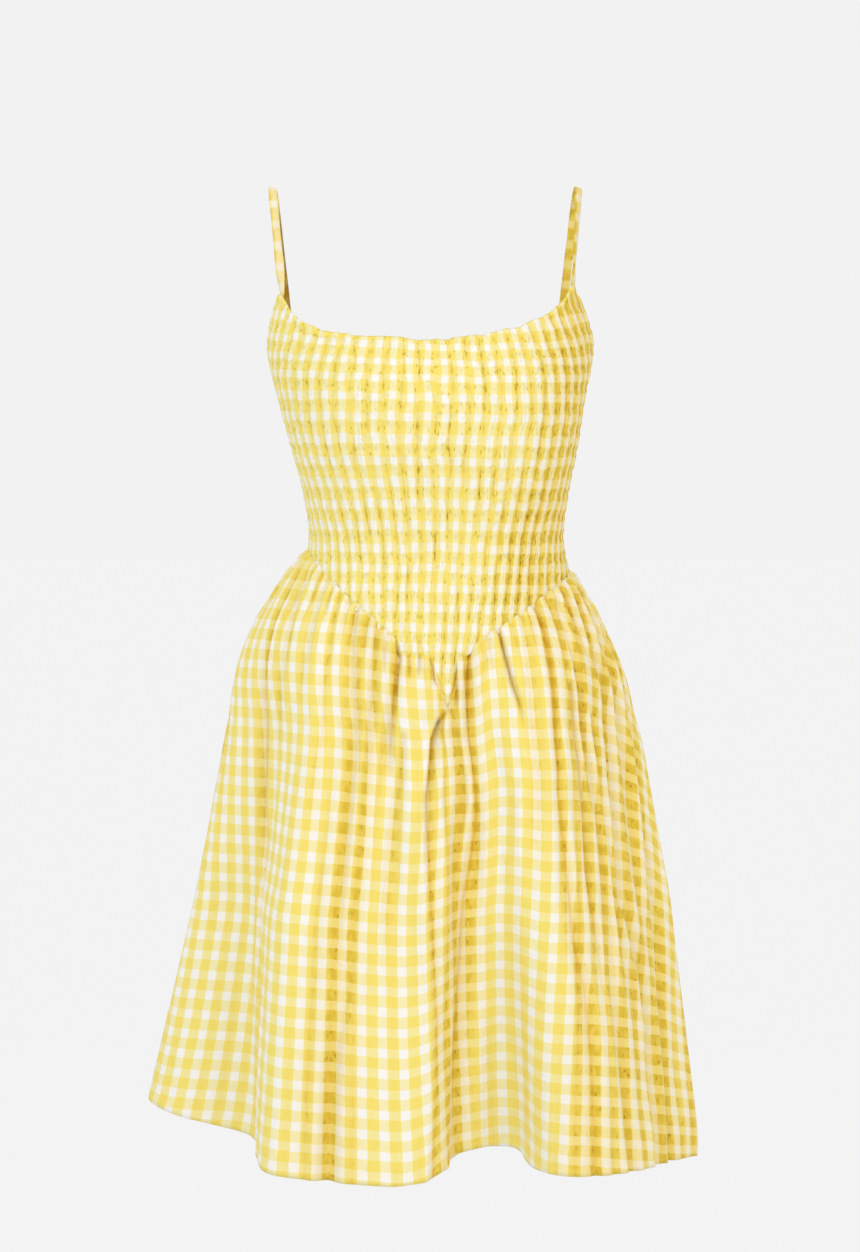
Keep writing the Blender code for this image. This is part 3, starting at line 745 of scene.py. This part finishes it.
def build_skirt(name, top, bottom, folds, creases, back, rows, seed):
    """A gathered, flared panel with a turned hem. Its top edge puffs out from the seam."""
    scene = bpy.context.scene
    settings = scene.sundress_skirt
    share = np.linspace(-1.0, 1.0, settings.columns + 1)[None, :]
    share = share * (0.75 + 0.25 * share ** 2)
    down = np.linspace(0.0, 1.0, rows + 1)[:, None] ** 1.25
    seam_line = rounded(top, share, 0.006)
    high = seam_line + SEAM_TUCK * 0.6
    low = rounded(bottom, share, 0.02)
    height = high + (low - high) * down
    share = np.broadcast_to(share, height.shape)
    down = np.broadcast_to(down, height.shape)
    seam = Stack(figure_plan(back), *SEAM_HEIGHTS).read(height, share)
    free = Stack(skirt_plan(folds), *SKIRT_HEIGHTS).read(height, share)
    settled = np.clip(down / SETTLE, 0.0, 1.0)
    settled = settled * 0.55 + 0.45 * ease(settled)
    plan = seam + (free - seam) * settled[..., None]
    side = 1 if back else -1
    points = np.stack((plan[..., 0], side * plan[..., 1], height), axis=2)
    normals = surface_normals(points, back)
    run = np.linalg.norm(np.gradient(points, axis=1), axis=2)
    half_width = run.sum(axis=1, keepdims=True) / 2
    drop = seam_line - height
    out, depth, pinch = crease_moves(creases, share, height, half_width)
    wide = share * half_width
    scallop = uneven(wide / 0.0100, height * 0 + 2.5, seed + 2)
    below = drop + 0.0026 * scallop
    flush = 0 if back else 0.55 * ease((np.abs(share - 0.03) - 0.20) / 0.15)
    out += (settings.puff * (1 - flush) * ease(below / 0.008)
            * (1 - ease((drop - 0.012) / 0.11)))
    out += settings.ripple * uneven(wide / 0.030, height / 0.16, seed) * ease(drop / 0.06)
    out += settings.ripple * 0.35 * uneven(wide / 0.011, height / 0.05, seed + 1)
    out -= 0.0016 * (1 - flush) * (1 - ease((below + 0.002) / 0.004))
    from_hem = height - low
    stitch = np.exp(-((from_hem - settings.hem) / STITCH_REACH) ** 2)
    out += 0.0004 * (1 - ease((from_hem - settings.hem) / 0.0015)) - 0.0004 * stitch
    columns = SKIRT_TOP_COLUMNS + SKIRT_FLARE_COLUMNS * (1 - (1 - down) ** SKIRT_FLARE_POWER)
    pushed = 0 if back else along(PUSHED_COLUMNS, share) * (1 - 0.75 * down)
    columns = share * columns + pushed
    small_folds_and_shade = rounded(BACK_SMALL_FOLDS_AND_SHADE if back else FRONT_SMALL_FOLDS_AND_SHADE, share, 0.03)
    small = grooves(columns, height / 0.13, 1.0, 0.10, 0.17, 0.70, seed + 4) * ease(drop / 0.02)
    out -= 0.0028 * small * small_folds_and_shade
    # Painted shade in the small folds, and over the stretches turned from the light.
    depth = depth + 0.60 * small * small_folds_and_shade + 0.80 * small_folds_and_shade ** 2
    out *= ease((1 - np.abs(share)) * half_width / 0.006)
    points += normals * out[..., None]
    cloth_x = columns * REPEAT
    low_row, high_row = (rounded(table, share) for table in
                         ((BACK_LOW_ROW, BACK_HIGH_ROW) if back
                          else (FRONT_LOW_ROW, FRONT_HIGH_ROW)))
    number = 1 + ROWS_BETWEEN * (height - low_row) / (high_row - low_row)
    gathered = 1 - ease((drop - 0.002) / 0.05)
    tucks = grooves(wide / 0.010, height / 0.05, 1.0, 0.35, 0.13, 0.2, seed + 3) * gathered
    # Painted shade along the hem's stitching, in the tucks under the gathered seam and along the
    # small folds' creases.
    depth = np.clip(depth + 0.15 * stitch + 0.6 * tucks, 0.0, 1.0)
    pinch = np.clip(pinch + 0.4 * small * small_folds_and_shade + 0.5 * tucks, 0.0, 1.0)
    cloth = np.stack((cloth_x, number * REPEAT), axis=2)
    # Both attributes are painted shade: in the folds (crease) and along sharp creases (pinch).
    shade_marks = {"crease": depth, "pinch": pinch}
    return grid_piece(name + "_cloth", points, cloth, shade_marks, back,
                      gingham_material("skirt cloth", 0.6, 0.45, 3.6,
                                       scene.sundress_cloth.pinch), [name])


# ---------------------------------------------------------------- materials
def add_node(tree, kind, inputs=None, **settings):
    """A shader node with its settings. Each input takes a value or another node's output."""
    node = tree.nodes.new(kind)
    for title, value in settings.items():
        setattr(node, title, value)
    for socket, value in (inputs or {}).items():
        if isinstance(value, bpy.types.NodeSocket):
            tree.links.new(value, node.inputs[socket])
        else:
            node.inputs[socket].default_value = value
    return node


def math_node(tree, operation, *values, clamp=False):
    """The output of a Math node that is fed by sockets or plain numbers."""
    node = add_node(tree, "ShaderNodeMath", dict(enumerate(values)), operation=operation,
                    use_clamp=clamp)
    return node.outputs[0]


def noise_node(tree, vector, scale, detail, stretch):
    """The value of a Noise texture on the cloth map, stretched up the cloth."""
    place = add_node(tree, "ShaderNodeMapping",
                     {"Scale": (1.0, stretch, 1.0), "Vector": vector})
    noise = add_node(tree, "ShaderNodeTexNoise",
                     {"Scale": scale, "Detail": detail, "Vector": place.outputs[0]})
    return noise.outputs[0]


def new_group(name, inputs, outputs):
    """A shader node group with its named inputs and outputs. A Cloth input is a vector."""
    group = bpy.data.node_groups.new(name, "ShaderNodeTree")
    for titles, way in ((inputs, "INPUT"), (outputs, "OUTPUT")):
        for title in titles:
            kind = "NodeSocketVector" if title == "Cloth" else "NodeSocketFloat"
            group.interface.new_socket(name=title, in_out=way, socket_type=kind)
    given = group.nodes.new("NodeGroupInput").outputs
    return group, given, group.nodes.new("NodeGroupOutput").inputs


def gingham_group():
    """Woven checks: how yellow each spot is, and how high its threads lie."""
    if "Gingham weave" in bpy.data.node_groups:
        return bpy.data.node_groups["Gingham weave"]
    group, given, result = new_group(
        "Gingham weave",
        ("Across", "Along", "White edge", "Sharpness", "Weft share", "Threads"),
        ("Yellow", "Both", "Row", "Height"))
    halves = []
    threads = []
    for name in ("Across", "Along"):
        turns = math_node(group, "MULTIPLY", given[name], 2 * math.pi)
        wave = math_node(group, "COSINE", turns)
        past = math_node(group, "SUBTRACT", given["White edge"], wave)
        halves.append(math_node(group, "MULTIPLY_ADD", past, given["Sharpness"], 0.5,
                                clamp=True))
        threads.append(math_node(group, "SINE",
                                 math_node(group, "MULTIPLY", turns, given["Threads"])))
    weave = math_node(group, "MULTIPLY", *threads)
    over = math_node(group, "MULTIPLY_ADD", weave, THREAD_MIX, given["Weft share"])
    mix = add_node(group, "ShaderNodeMix", {0: over, 2: halves[0], 3: halves[1]})
    lift = math_node(group, "MAXIMUM",
                     *(math_node(group, "ABSOLUTE", thread) for thread in threads))
    for title, value in (("Yellow", mix.outputs[0]),
                         ("Both", math_node(group, "MULTIPLY", *halves)),
                         ("Row", halves[1]), ("Height", lift)):
        group.links.new(value, result[title])
    return group


def crinkle_group():
    """Short bent pinches, scattered unevenly over the cloth, from 0 to 1."""
    if "Fine creases" in bpy.data.node_groups:
        return bpy.data.node_groups["Fine creases"]
    group, given, result = new_group("Fine creases", ("Cloth", "Amount"), ("Line",))
    bend = add_node(group, "ShaderNodeTexNoise", {"Scale": 190.0, "Vector": given["Cloth"]})
    bent = add_node(group, "ShaderNodeVectorMath",
                    {0: bend.outputs["Color"], 1: PINCH_BEND, 2: given["Cloth"]},
                    operation="MULTIPLY_ADD")
    place = add_node(group, "ShaderNodeMapping",
                     {"Scale": PINCHES_A_METRE, "Vector": bent.outputs[0]})
    cells = add_node(group, "ShaderNodeTexVoronoi",
                     {"Scale": 1.0, "Vector": place.outputs[0]}, voronoi_dimensions="2D")
    chance = add_node(group, "ShaderNodeSeparateColor", {0: cells.outputs["Color"]})
    line = math_node(group, "MULTIPLY_ADD", cells.outputs["Distance"], -10.0, 2.15, clamp=True)
    kept = math_node(group, "ADD", chance.outputs[0], given["Amount"])
    kept = math_node(group, "MULTIPLY_ADD", kept, 3.0, -1.25, clamp=True)
    group.links.new(math_node(group, "MULTIPLY", line, kept), result["Line"])
    return group


def gingham_material(name, crinkle, white_share, sharpness, pinch_shade):
    """Yellow and white gingham cotton with uneven threads, small crinkles and painted shade in its
    folds and creases.
    """
    if name in bpy.data.materials:
        return bpy.data.materials[name]
    cloth = bpy.context.scene.sundress_cloth
    material = bpy.data.materials.new(name)
    material.use_nodes = True
    tree = material.node_tree
    shader = tree.nodes["Principled BSDF"]
    shader.inputs["Roughness"].default_value = 0.85
    shader.inputs["Specular IOR Level"].default_value = 0.2
    shader.inputs["Sheen Weight"].default_value = 0.08
    shader.inputs["Sheen Roughness"].default_value = 0.5

    # The checks, whose edges wander a little.
    uv = add_node(tree, "ShaderNodeUVMap", uv_map="cloth").outputs[0]
    split = add_node(tree, "ShaderNodeSeparateXYZ", {0: uv})
    wander = add_node(tree, "ShaderNodeTexNoise", {"Scale": 75.0, "Detail": 3.0, "Vector": uv})
    shifts = add_node(tree, "ShaderNodeSeparateColor", {0: wander.outputs["Color"]})
    reach = 0.0022 * crinkle + 0.0004
    places = {}
    for axis, socket in enumerate(("Across", "Along")):
        shift = math_node(tree, "MULTIPLY_ADD", shifts.outputs[axis], reach, -reach / 2)
        place = math_node(tree, "ADD", split.outputs[axis], shift)
        places[socket] = math_node(tree, "DIVIDE", place, REPEAT)
    weave = add_node(tree, "ShaderNodeGroup",
                     {"White edge": math.cos(math.pi * white_share), "Sharpness": sharpness,
                      "Weft share": 0.39 + 0.04 * crinkle, "Threads": THREADS_A_REPEAT,
                      **places}, node_tree=gingham_group()).outputs
    slub = noise_node(tree, uv, scale=260.0, detail=4.0, stretch=0.35)
    uneven_dye = math_node(tree, "MULTIPLY_ADD", slub, 0.16, -0.08)
    dyed = math_node(tree, "ADD", weave["Yellow"], uneven_dye, clamp=True)
    ramp = add_node(tree, "ShaderNodeValToRGB", {0: dyed})
    stops = ramp.color_ramp.elements
    stops[0].color = (*cloth.white, 1.0)
    stops[1].color = (*cloth.yellow, 1.0)
    stops.new(0.5).color = (*cloth.pale, 1.0)

    # Painted shade in folds, on yellow squares in folds, in fine short creases and along sharp
    # creases tints the cloth in turn.
    deep, pinch = (add_node(tree, "ShaderNodeAttribute", attribute_name=mark).outputs["Fac"]
                   for mark in ("crease", "pinch"))
    amount = math_node(tree, "MULTIPLY_ADD", deep, 0.6, 1.3 * crinkle - 1.4)
    lines = add_node(tree, "ShaderNodeGroup", {"Cloth": uv, "Amount": amount},
                     node_tree=crinkle_group()).outputs["Line"]
    on_rows = math_node(tree, "MULTIPLY_ADD", weave["Both"], 1.0 - 0.35 * crinkle,
                        math_node(tree, "MULTIPLY", weave["Row"], 0.35 * crinkle))
    # Painted shade of fine short creases, on the yellow squares and rows.
    shade_ticks = math_node(tree, "MULTIPLY", lines, on_rows)
    # Painted shade on the yellow squares in the deeper folds, in uneven patches.
    shaded_squares = math_node(tree, "MULTIPLY_ADD", deep, 2.0, -0.5, clamp=True)
    patch = math_node(tree, "MULTIPLY_ADD", slub, 3.0, -0.75, clamp=True)
    shaded_squares = math_node(tree, "MULTIPLY", math_node(tree, "MULTIPLY", shaded_squares, patch),
                        weave["Both"])
    colour = ramp.outputs[0]
    # Each attribute multiplies in its tint of painted shade.
    for amount, tint in ((deep, cloth.fold), (shaded_squares, cloth.square), (shade_ticks, cloth.crease),
                         (pinch, pinch_shade)):
        colour = add_node(tree, "ShaderNodeMix", {0: amount, 6: colour, 7: (*tint, 1.0)},
                          data_type="RGBA", blend_type="MULTIPLY").outputs[2]
    tree.links.new(colour, shader.inputs["Base Color"])

    # Crinkles and threads in relief.
    crinkles = noise_node(tree, uv, scale=170.0, detail=3.0, stretch=0.35)
    height = math_node(tree, "MULTIPLY_ADD", lines, -0.22, crinkles)
    soft = add_node(tree, "ShaderNodeBump", {"Strength": 0.35 + 0.45 * crinkle,
                                             "Distance": CRINKLE_DEPTH, "Height": height})
    threads = add_node(tree, "ShaderNodeBump",
                       {"Strength": 0.3, "Distance": THREAD_DEPTH,
                        "Height": weave["Height"], "Normal": soft.outputs[0]})
    tree.links.new(threads.outputs[0], shader.inputs["Normal"])
    return material


# ---------------------------------------------------------------- straps
def strap_route(crown, front_share, back_share):
    """Middle of a strap and the direction across it, from behind the front to the back."""
    feet = []
    for back, edge, share in ((False, NECK_EDGE, front_share), (True, BACK_EDGE, back_share)):
        stack = Stack(figure_plan(back), *FOOT_HEIGHTS)
        top = float(along(edge, share))
        places = []
        for drop in (STRAP_TUCK, 0.0):
            height = np.array(top - drop)
            here, before, after = (stack.read(height, np.array(share + step))
                                   for step in (0.0, -0.02, 0.02))
            run = (after - before) / np.linalg.norm(after - before)
            x, out = here + np.array((run[1], -run[0])) * STRAP_BEHIND
            side = 1 if back else -1
            places.append((np.array((x, side * out, float(height))),
                           np.array((run[0], side * run[1], 0.0))))
        feet.append(places)
    front, rear = feet[0], feet[1][::-1]
    front_foot, rear_foot = front[1][0], rear[0][0]
    share = STRAP_STRAIGHT
    peak = (np.array(crown) - 0.25 * (1 - share) * (front_foot + rear_foot)) / (0.5 * (1 + share))
    front_bend = front_foot + share * (peak - front_foot)
    rear_bend = rear_foot + share * (peak - rear_foot)
    over = [(1 - t) ** 2 * front_bend + 2 * t * (1 - t) * peak + t * t * rear_bend
            for t in np.linspace(0, 1, 25)]
    level = np.array((1.0, 0.0, 0.0))
    places = [front[0][0], front_foot] + over + [rear_foot, rear[1][0]]
    runs = [front[0][1], front[1][1]] + [level] * len(over) + [rear[0][1], rear[1][1]]
    return np.array(places), np.array(runs)


def build_strap(name, crown, front_share, back_share, twist, strap_shades, seed):
    """A flat rouleau: a folded tube of cloth with its ends sewn shut."""
    settings = bpy.context.scene.sundress_straps
    steps, sides = 220, 28
    places, runs = strap_route(crown, front_share, back_share)
    length = np.concatenate(([0.0], np.cumsum(np.linalg.norm(np.diff(places, axis=0), axis=1))))
    target = np.linspace(0, length[-1], steps + 1)
    centres, widths = (np.column_stack([np.interp(target, length, table[:, i])
                                        for i in range(3)]) for table in (places, runs))
    ahead = np.gradient(centres, axis=0)
    ahead /= np.linalg.norm(ahead, axis=1, keepdims=True)
    widths -= ahead * np.sum(widths * ahead, axis=1, keepdims=True)
    widths /= np.linalg.norm(widths, axis=1, keepdims=True)
    facing = np.cross(ahead, widths)
    turn = math.radians(twist) * np.exp(-((target - STRAP_TUCK - STRAP_TWIST_PLACE)
                                          / STRAP_TWIST_REACH) ** 2)
    turn = (turn * ease((target - STRAP_TUCK) / 0.02))[:, None]
    widths, facing = (widths * np.cos(turn) + facing * np.sin(turn),
                      facing * np.cos(turn) - widths * np.sin(turn))
    angle = np.linspace(0, 2 * math.pi, sides + 1)[None, :]
    angle = angle - 2 * math.pi * (np.arange(sides + 1) == sides)
    travel = target[:, None]
    crush = 1 + 0.12 * uneven(travel / 0.012 + 0 * angle, np.sin(angle) + 2, seed)
    half = settings.width / 2 * (1 + 0.06 * uneven(travel / 0.015, travel * 0, seed + 1))
    thick = np.copysign(np.abs(np.sin(angle)) ** 0.6, np.sin(angle)) * settings.thickness / 2
    points = (centres[:, None] + widths[:, None] * (np.cos(angle) * half)[..., None]
              + facing[:, None] * (thick * crush)[..., None])
    around = settings.width * 2 * np.arange(sides + 1)[None, :] / sides + REPEAT * 0.3
    cloth = np.stack((np.broadcast_to(around, crush.shape),
                      np.broadcast_to(travel, crush.shape)), axis=2)
    # Painted fold shade all along the strap, deeper at its folded edges.
    depth = np.clip(0.66 + 0.25 * np.abs(np.cos(angle)) ** 12 + 0 * travel
                    + 0.3 * uneven(travel / 0.006, angle * 0.8, seed + 2), 0.0, 1.0)
    # The inside of the rear half stands in shadow and gets the second amount of painted shade; the
    # rest of the strap gets the first.
    rear = ease((travel - 0.5 * target[-1]) / 0.01 + 0.5) * ease(1.5 * np.sin(angle) + 0.4)
    shade_marks = {"crease": depth, "pinch": 0 * depth + strap_shades[0] + (strap_shades[1] - strap_shades[0]) * rear}
    return grid_piece(name + "_cloth", points, cloth, shade_marks, False,
                      gingham_material("rouleau cloth", 0.6, 0.40, 1.3, settings.shade),
                      [name], tube=True)


# ---------------------------------------------------------------- stage
FLOOR_SIZE, FLOOR_PLACE = 30.0, (0.0, 6.0, -1.6)
FLOOR_GLOW = 0.985           # share of the backdrop's colour that the floor gives off
LIGHTS = [
    # name, place, size, colour
    ("key", (-1.6, -2.6, 1.2), 1.8, (0.96, 0.965, 1.0)),
    ("fill", (2.2, -2.4, 0.2), 2.0, (1.0, 0.87, 0.68)),
    ("rear", (0.6, 3.0, 0.9), 2.2, (1.0, 0.98, 0.95)),
]
LIGHT_TARGET = Vector((0.0, 0.0, -0.4))
CAMERA_TARGET = Vector((0.0, 0.0, -0.395))
CAMERA_TURN = math.radians(-3.0)
CAMERA_DISTANCE, CAMERA_RISE = 2.8, 0.2303
SENSOR_HEIGHT = 36.0         # millimetres
VIEW_ROWS, ROW_HEIGHT = 1252, 0.0009    # rows of pixels, and the metres in each at the dress


def build_backdrop(context, colour):
    """A pale floor that runs far back, and a world of the same colour."""
    bpy.ops.object.select_all(action="DESELECT")
    bpy.ops.mesh.primitive_plane_add(size=FLOOR_SIZE, location=FLOOR_PLACE)
    floor = context.object
    floor.name = "floor"
    paper = bpy.data.materials.new("paper")
    paper.use_nodes = True
    shader = paper.node_tree.nodes["Principled BSDF"]
    shader.inputs["Base Color"].default_value = (0.02, 0.02, 0.02, 1.0)
    shader.inputs["Roughness"].default_value = 1.0
    shader.inputs["Specular IOR Level"].default_value = 0.0
    shader.inputs["Emission Color"].default_value = (*colour, 1.0)
    shader.inputs["Emission Strength"].default_value = FLOOR_GLOW
    floor.data.materials.append(paper)
    world = context.scene.world or bpy.data.worlds.new("studio")
    context.scene.world = world
    world.use_nodes = True
    background = world.node_tree.nodes["Background"]
    background.inputs[0].default_value = (*colour, 1.0)
    background.inputs[1].default_value = 1.0


def build_light(context, name, power, place, size, colour):
    """A square area light that faces the dress."""
    data = bpy.data.lights.new(name, "AREA")
    data.energy = power
    data.size = size
    data.color = colour
    light = bpy.data.objects.new(name, data)
    context.scene.collection.objects.link(light)
    light.location = place
    light.rotation_euler = (LIGHT_TARGET - Vector(place)).to_track_quat("-Z", "Y").to_euler()


def build_camera(context):
    """A camera a little above the middle of the dress and turned a little to one side."""
    data = bpy.data.cameras.new("camera")
    data.sensor_fit = "VERTICAL"
    data.sensor_height = SENSOR_HEIGHT
    data.lens = SENSOR_HEIGHT * math.hypot(CAMERA_DISTANCE, CAMERA_RISE) / (VIEW_ROWS * ROW_HEIGHT)
    camera = bpy.data.objects.new("camera", data)
    context.scene.collection.objects.link(camera)
    camera.location = CAMERA_TARGET + Vector((math.sin(CAMERA_TURN) * CAMERA_DISTANCE,
                                              -math.cos(CAMERA_TURN) * CAMERA_DISTANCE,
                                              CAMERA_RISE))
    camera.rotation_euler = (CAMERA_TARGET - camera.location).to_track_quat("-Z", "Y").to_euler()
    context.scene.camera = camera


# ---------------------------------------------------------------- operators
class SUNDRESS_OT_bodice(bpy.types.Operator):
    """Build the two shirred bodice panels"""

    bl_idname = "sundress.bodice"
    bl_label = "Bodice panels"

    def execute(self, context):
        rows = context.scene.sundress_bodice.rows
        front = build_bodice("bodice_front", NECK_EDGE, BASQUE_SEAM, False, rows, 11)
        rear = build_bodice("bodice_back", BACK_EDGE, BACK_SEAM, True,
                            int(rows * BODICE_BACK_ROWS), 31)
        return {"FINISHED"}


class SUNDRESS_OT_skirt(bpy.types.Operator):
    """Build the two gathered skirt panels"""

    bl_idname = "sundress.skirt"
    bl_label = "Skirt panels"

    def execute(self, context):
        rows = context.scene.sundress_skirt.rows
        front = build_skirt("skirt_front", BASQUE_SEAM, FRONT_HEM, FRONT_FOLDS, FRONT_CREASES,
                            False, rows, 51)
        rear = build_skirt("skirt_back", BACK_SEAM, BACK_HEM, BACK_FOLDS, BACK_CREASES,
                           True, int(rows * SKIRT_BACK_ROWS), 71)
        return {"FINISHED"}


class SUNDRESS_OT_straps(bpy.types.Operator):
    """Build the two rouleau straps"""

    bl_idname = "sundress.straps"
    bl_label = "Straps"

    def execute(self, context):
        for name, *shape, seed in (
                ("strap_left", LEFT_CROWN, LEFT_FRONT, LEFT_BACK, LEFT_TWIST, LEFT_STRAP_SHADES, 91),
                ("strap_right", RIGHT_CROWN, RIGHT_FRONT, RIGHT_BACK, RIGHT_TWIST,
                 RIGHT_STRAP_SHADES, 95)):
            build_strap(name, *shape, seed)
        return {"FINISHED"}


class SUNDRESS_OT_stage(bpy.types.Operator):
    """Build the floor, the lights and the camera"""

    bl_idname = "sundress.stage"
    bl_label = "Stage, lights and camera"

    def execute(self, context):
        settings = context.scene.sundress_stage
        build_backdrop(context, settings.backdrop)
        for name, *shape in LIGHTS:
            build_light(context, name, getattr(settings, name), *shape)
        build_camera(context)
        context.scene.view_settings.view_transform = "Standard"
        return {"FINISHED"}


class SUNDRESS_PT_panel(bpy.types.Panel):
    """Buttons and sizes for the sundress"""

    bl_label = "Sundress"
    bl_idname = "SUNDRESS_PT_panel"
    bl_space_type = "VIEW_3D"
    bl_region_type = "UI"
    bl_category = "Sundress"

    def draw(self, context):
        for operator in OPERATORS:
            self.layout.operator(operator.bl_idname)
        for title, group in GROUPS:
            box = self.layout.box()
            settings = getattr(context.scene, title)
            for field in group.__annotations__:
                box.prop(settings, field)


GROUPS = (
    ("sundress_cloth", SundressCloth),
    ("sundress_bodice", SundressBodice),
    ("sundress_skirt", SundressSkirt),
    ("sundress_straps", SundressStraps),
    ("sundress_stage", SundressStage),
)
OPERATORS = (
    SUNDRESS_OT_bodice,
    SUNDRESS_OT_skirt,
    SUNDRESS_OT_straps,
    SUNDRESS_OT_stage,
)


def register():
    for title, group in GROUPS:
        bpy.utils.register_class(group)
        setattr(bpy.types.Scene, title, PointerProperty(type=group))
    for operator in OPERATORS:
        bpy.utils.register_class(operator)
    bpy.utils.register_class(SUNDRESS_PT_panel)


def unregister():
    bpy.utils.unregister_class(SUNDRESS_PT_panel)
    for operator in reversed(OPERATORS):
        bpy.utils.unregister_class(operator)
    for title, group in reversed(GROUPS):
        delattr(bpy.types.Scene, title)
        bpy.utils.unregister_class(group)


def main():
    register()
    bpy.ops.sundress.bodice()
    bpy.ops.sundress.skirt()
    bpy.ops.sundress.straps()
    bpy.ops.sundress.stage()
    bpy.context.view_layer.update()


if __name__ == "__main__":
    main()
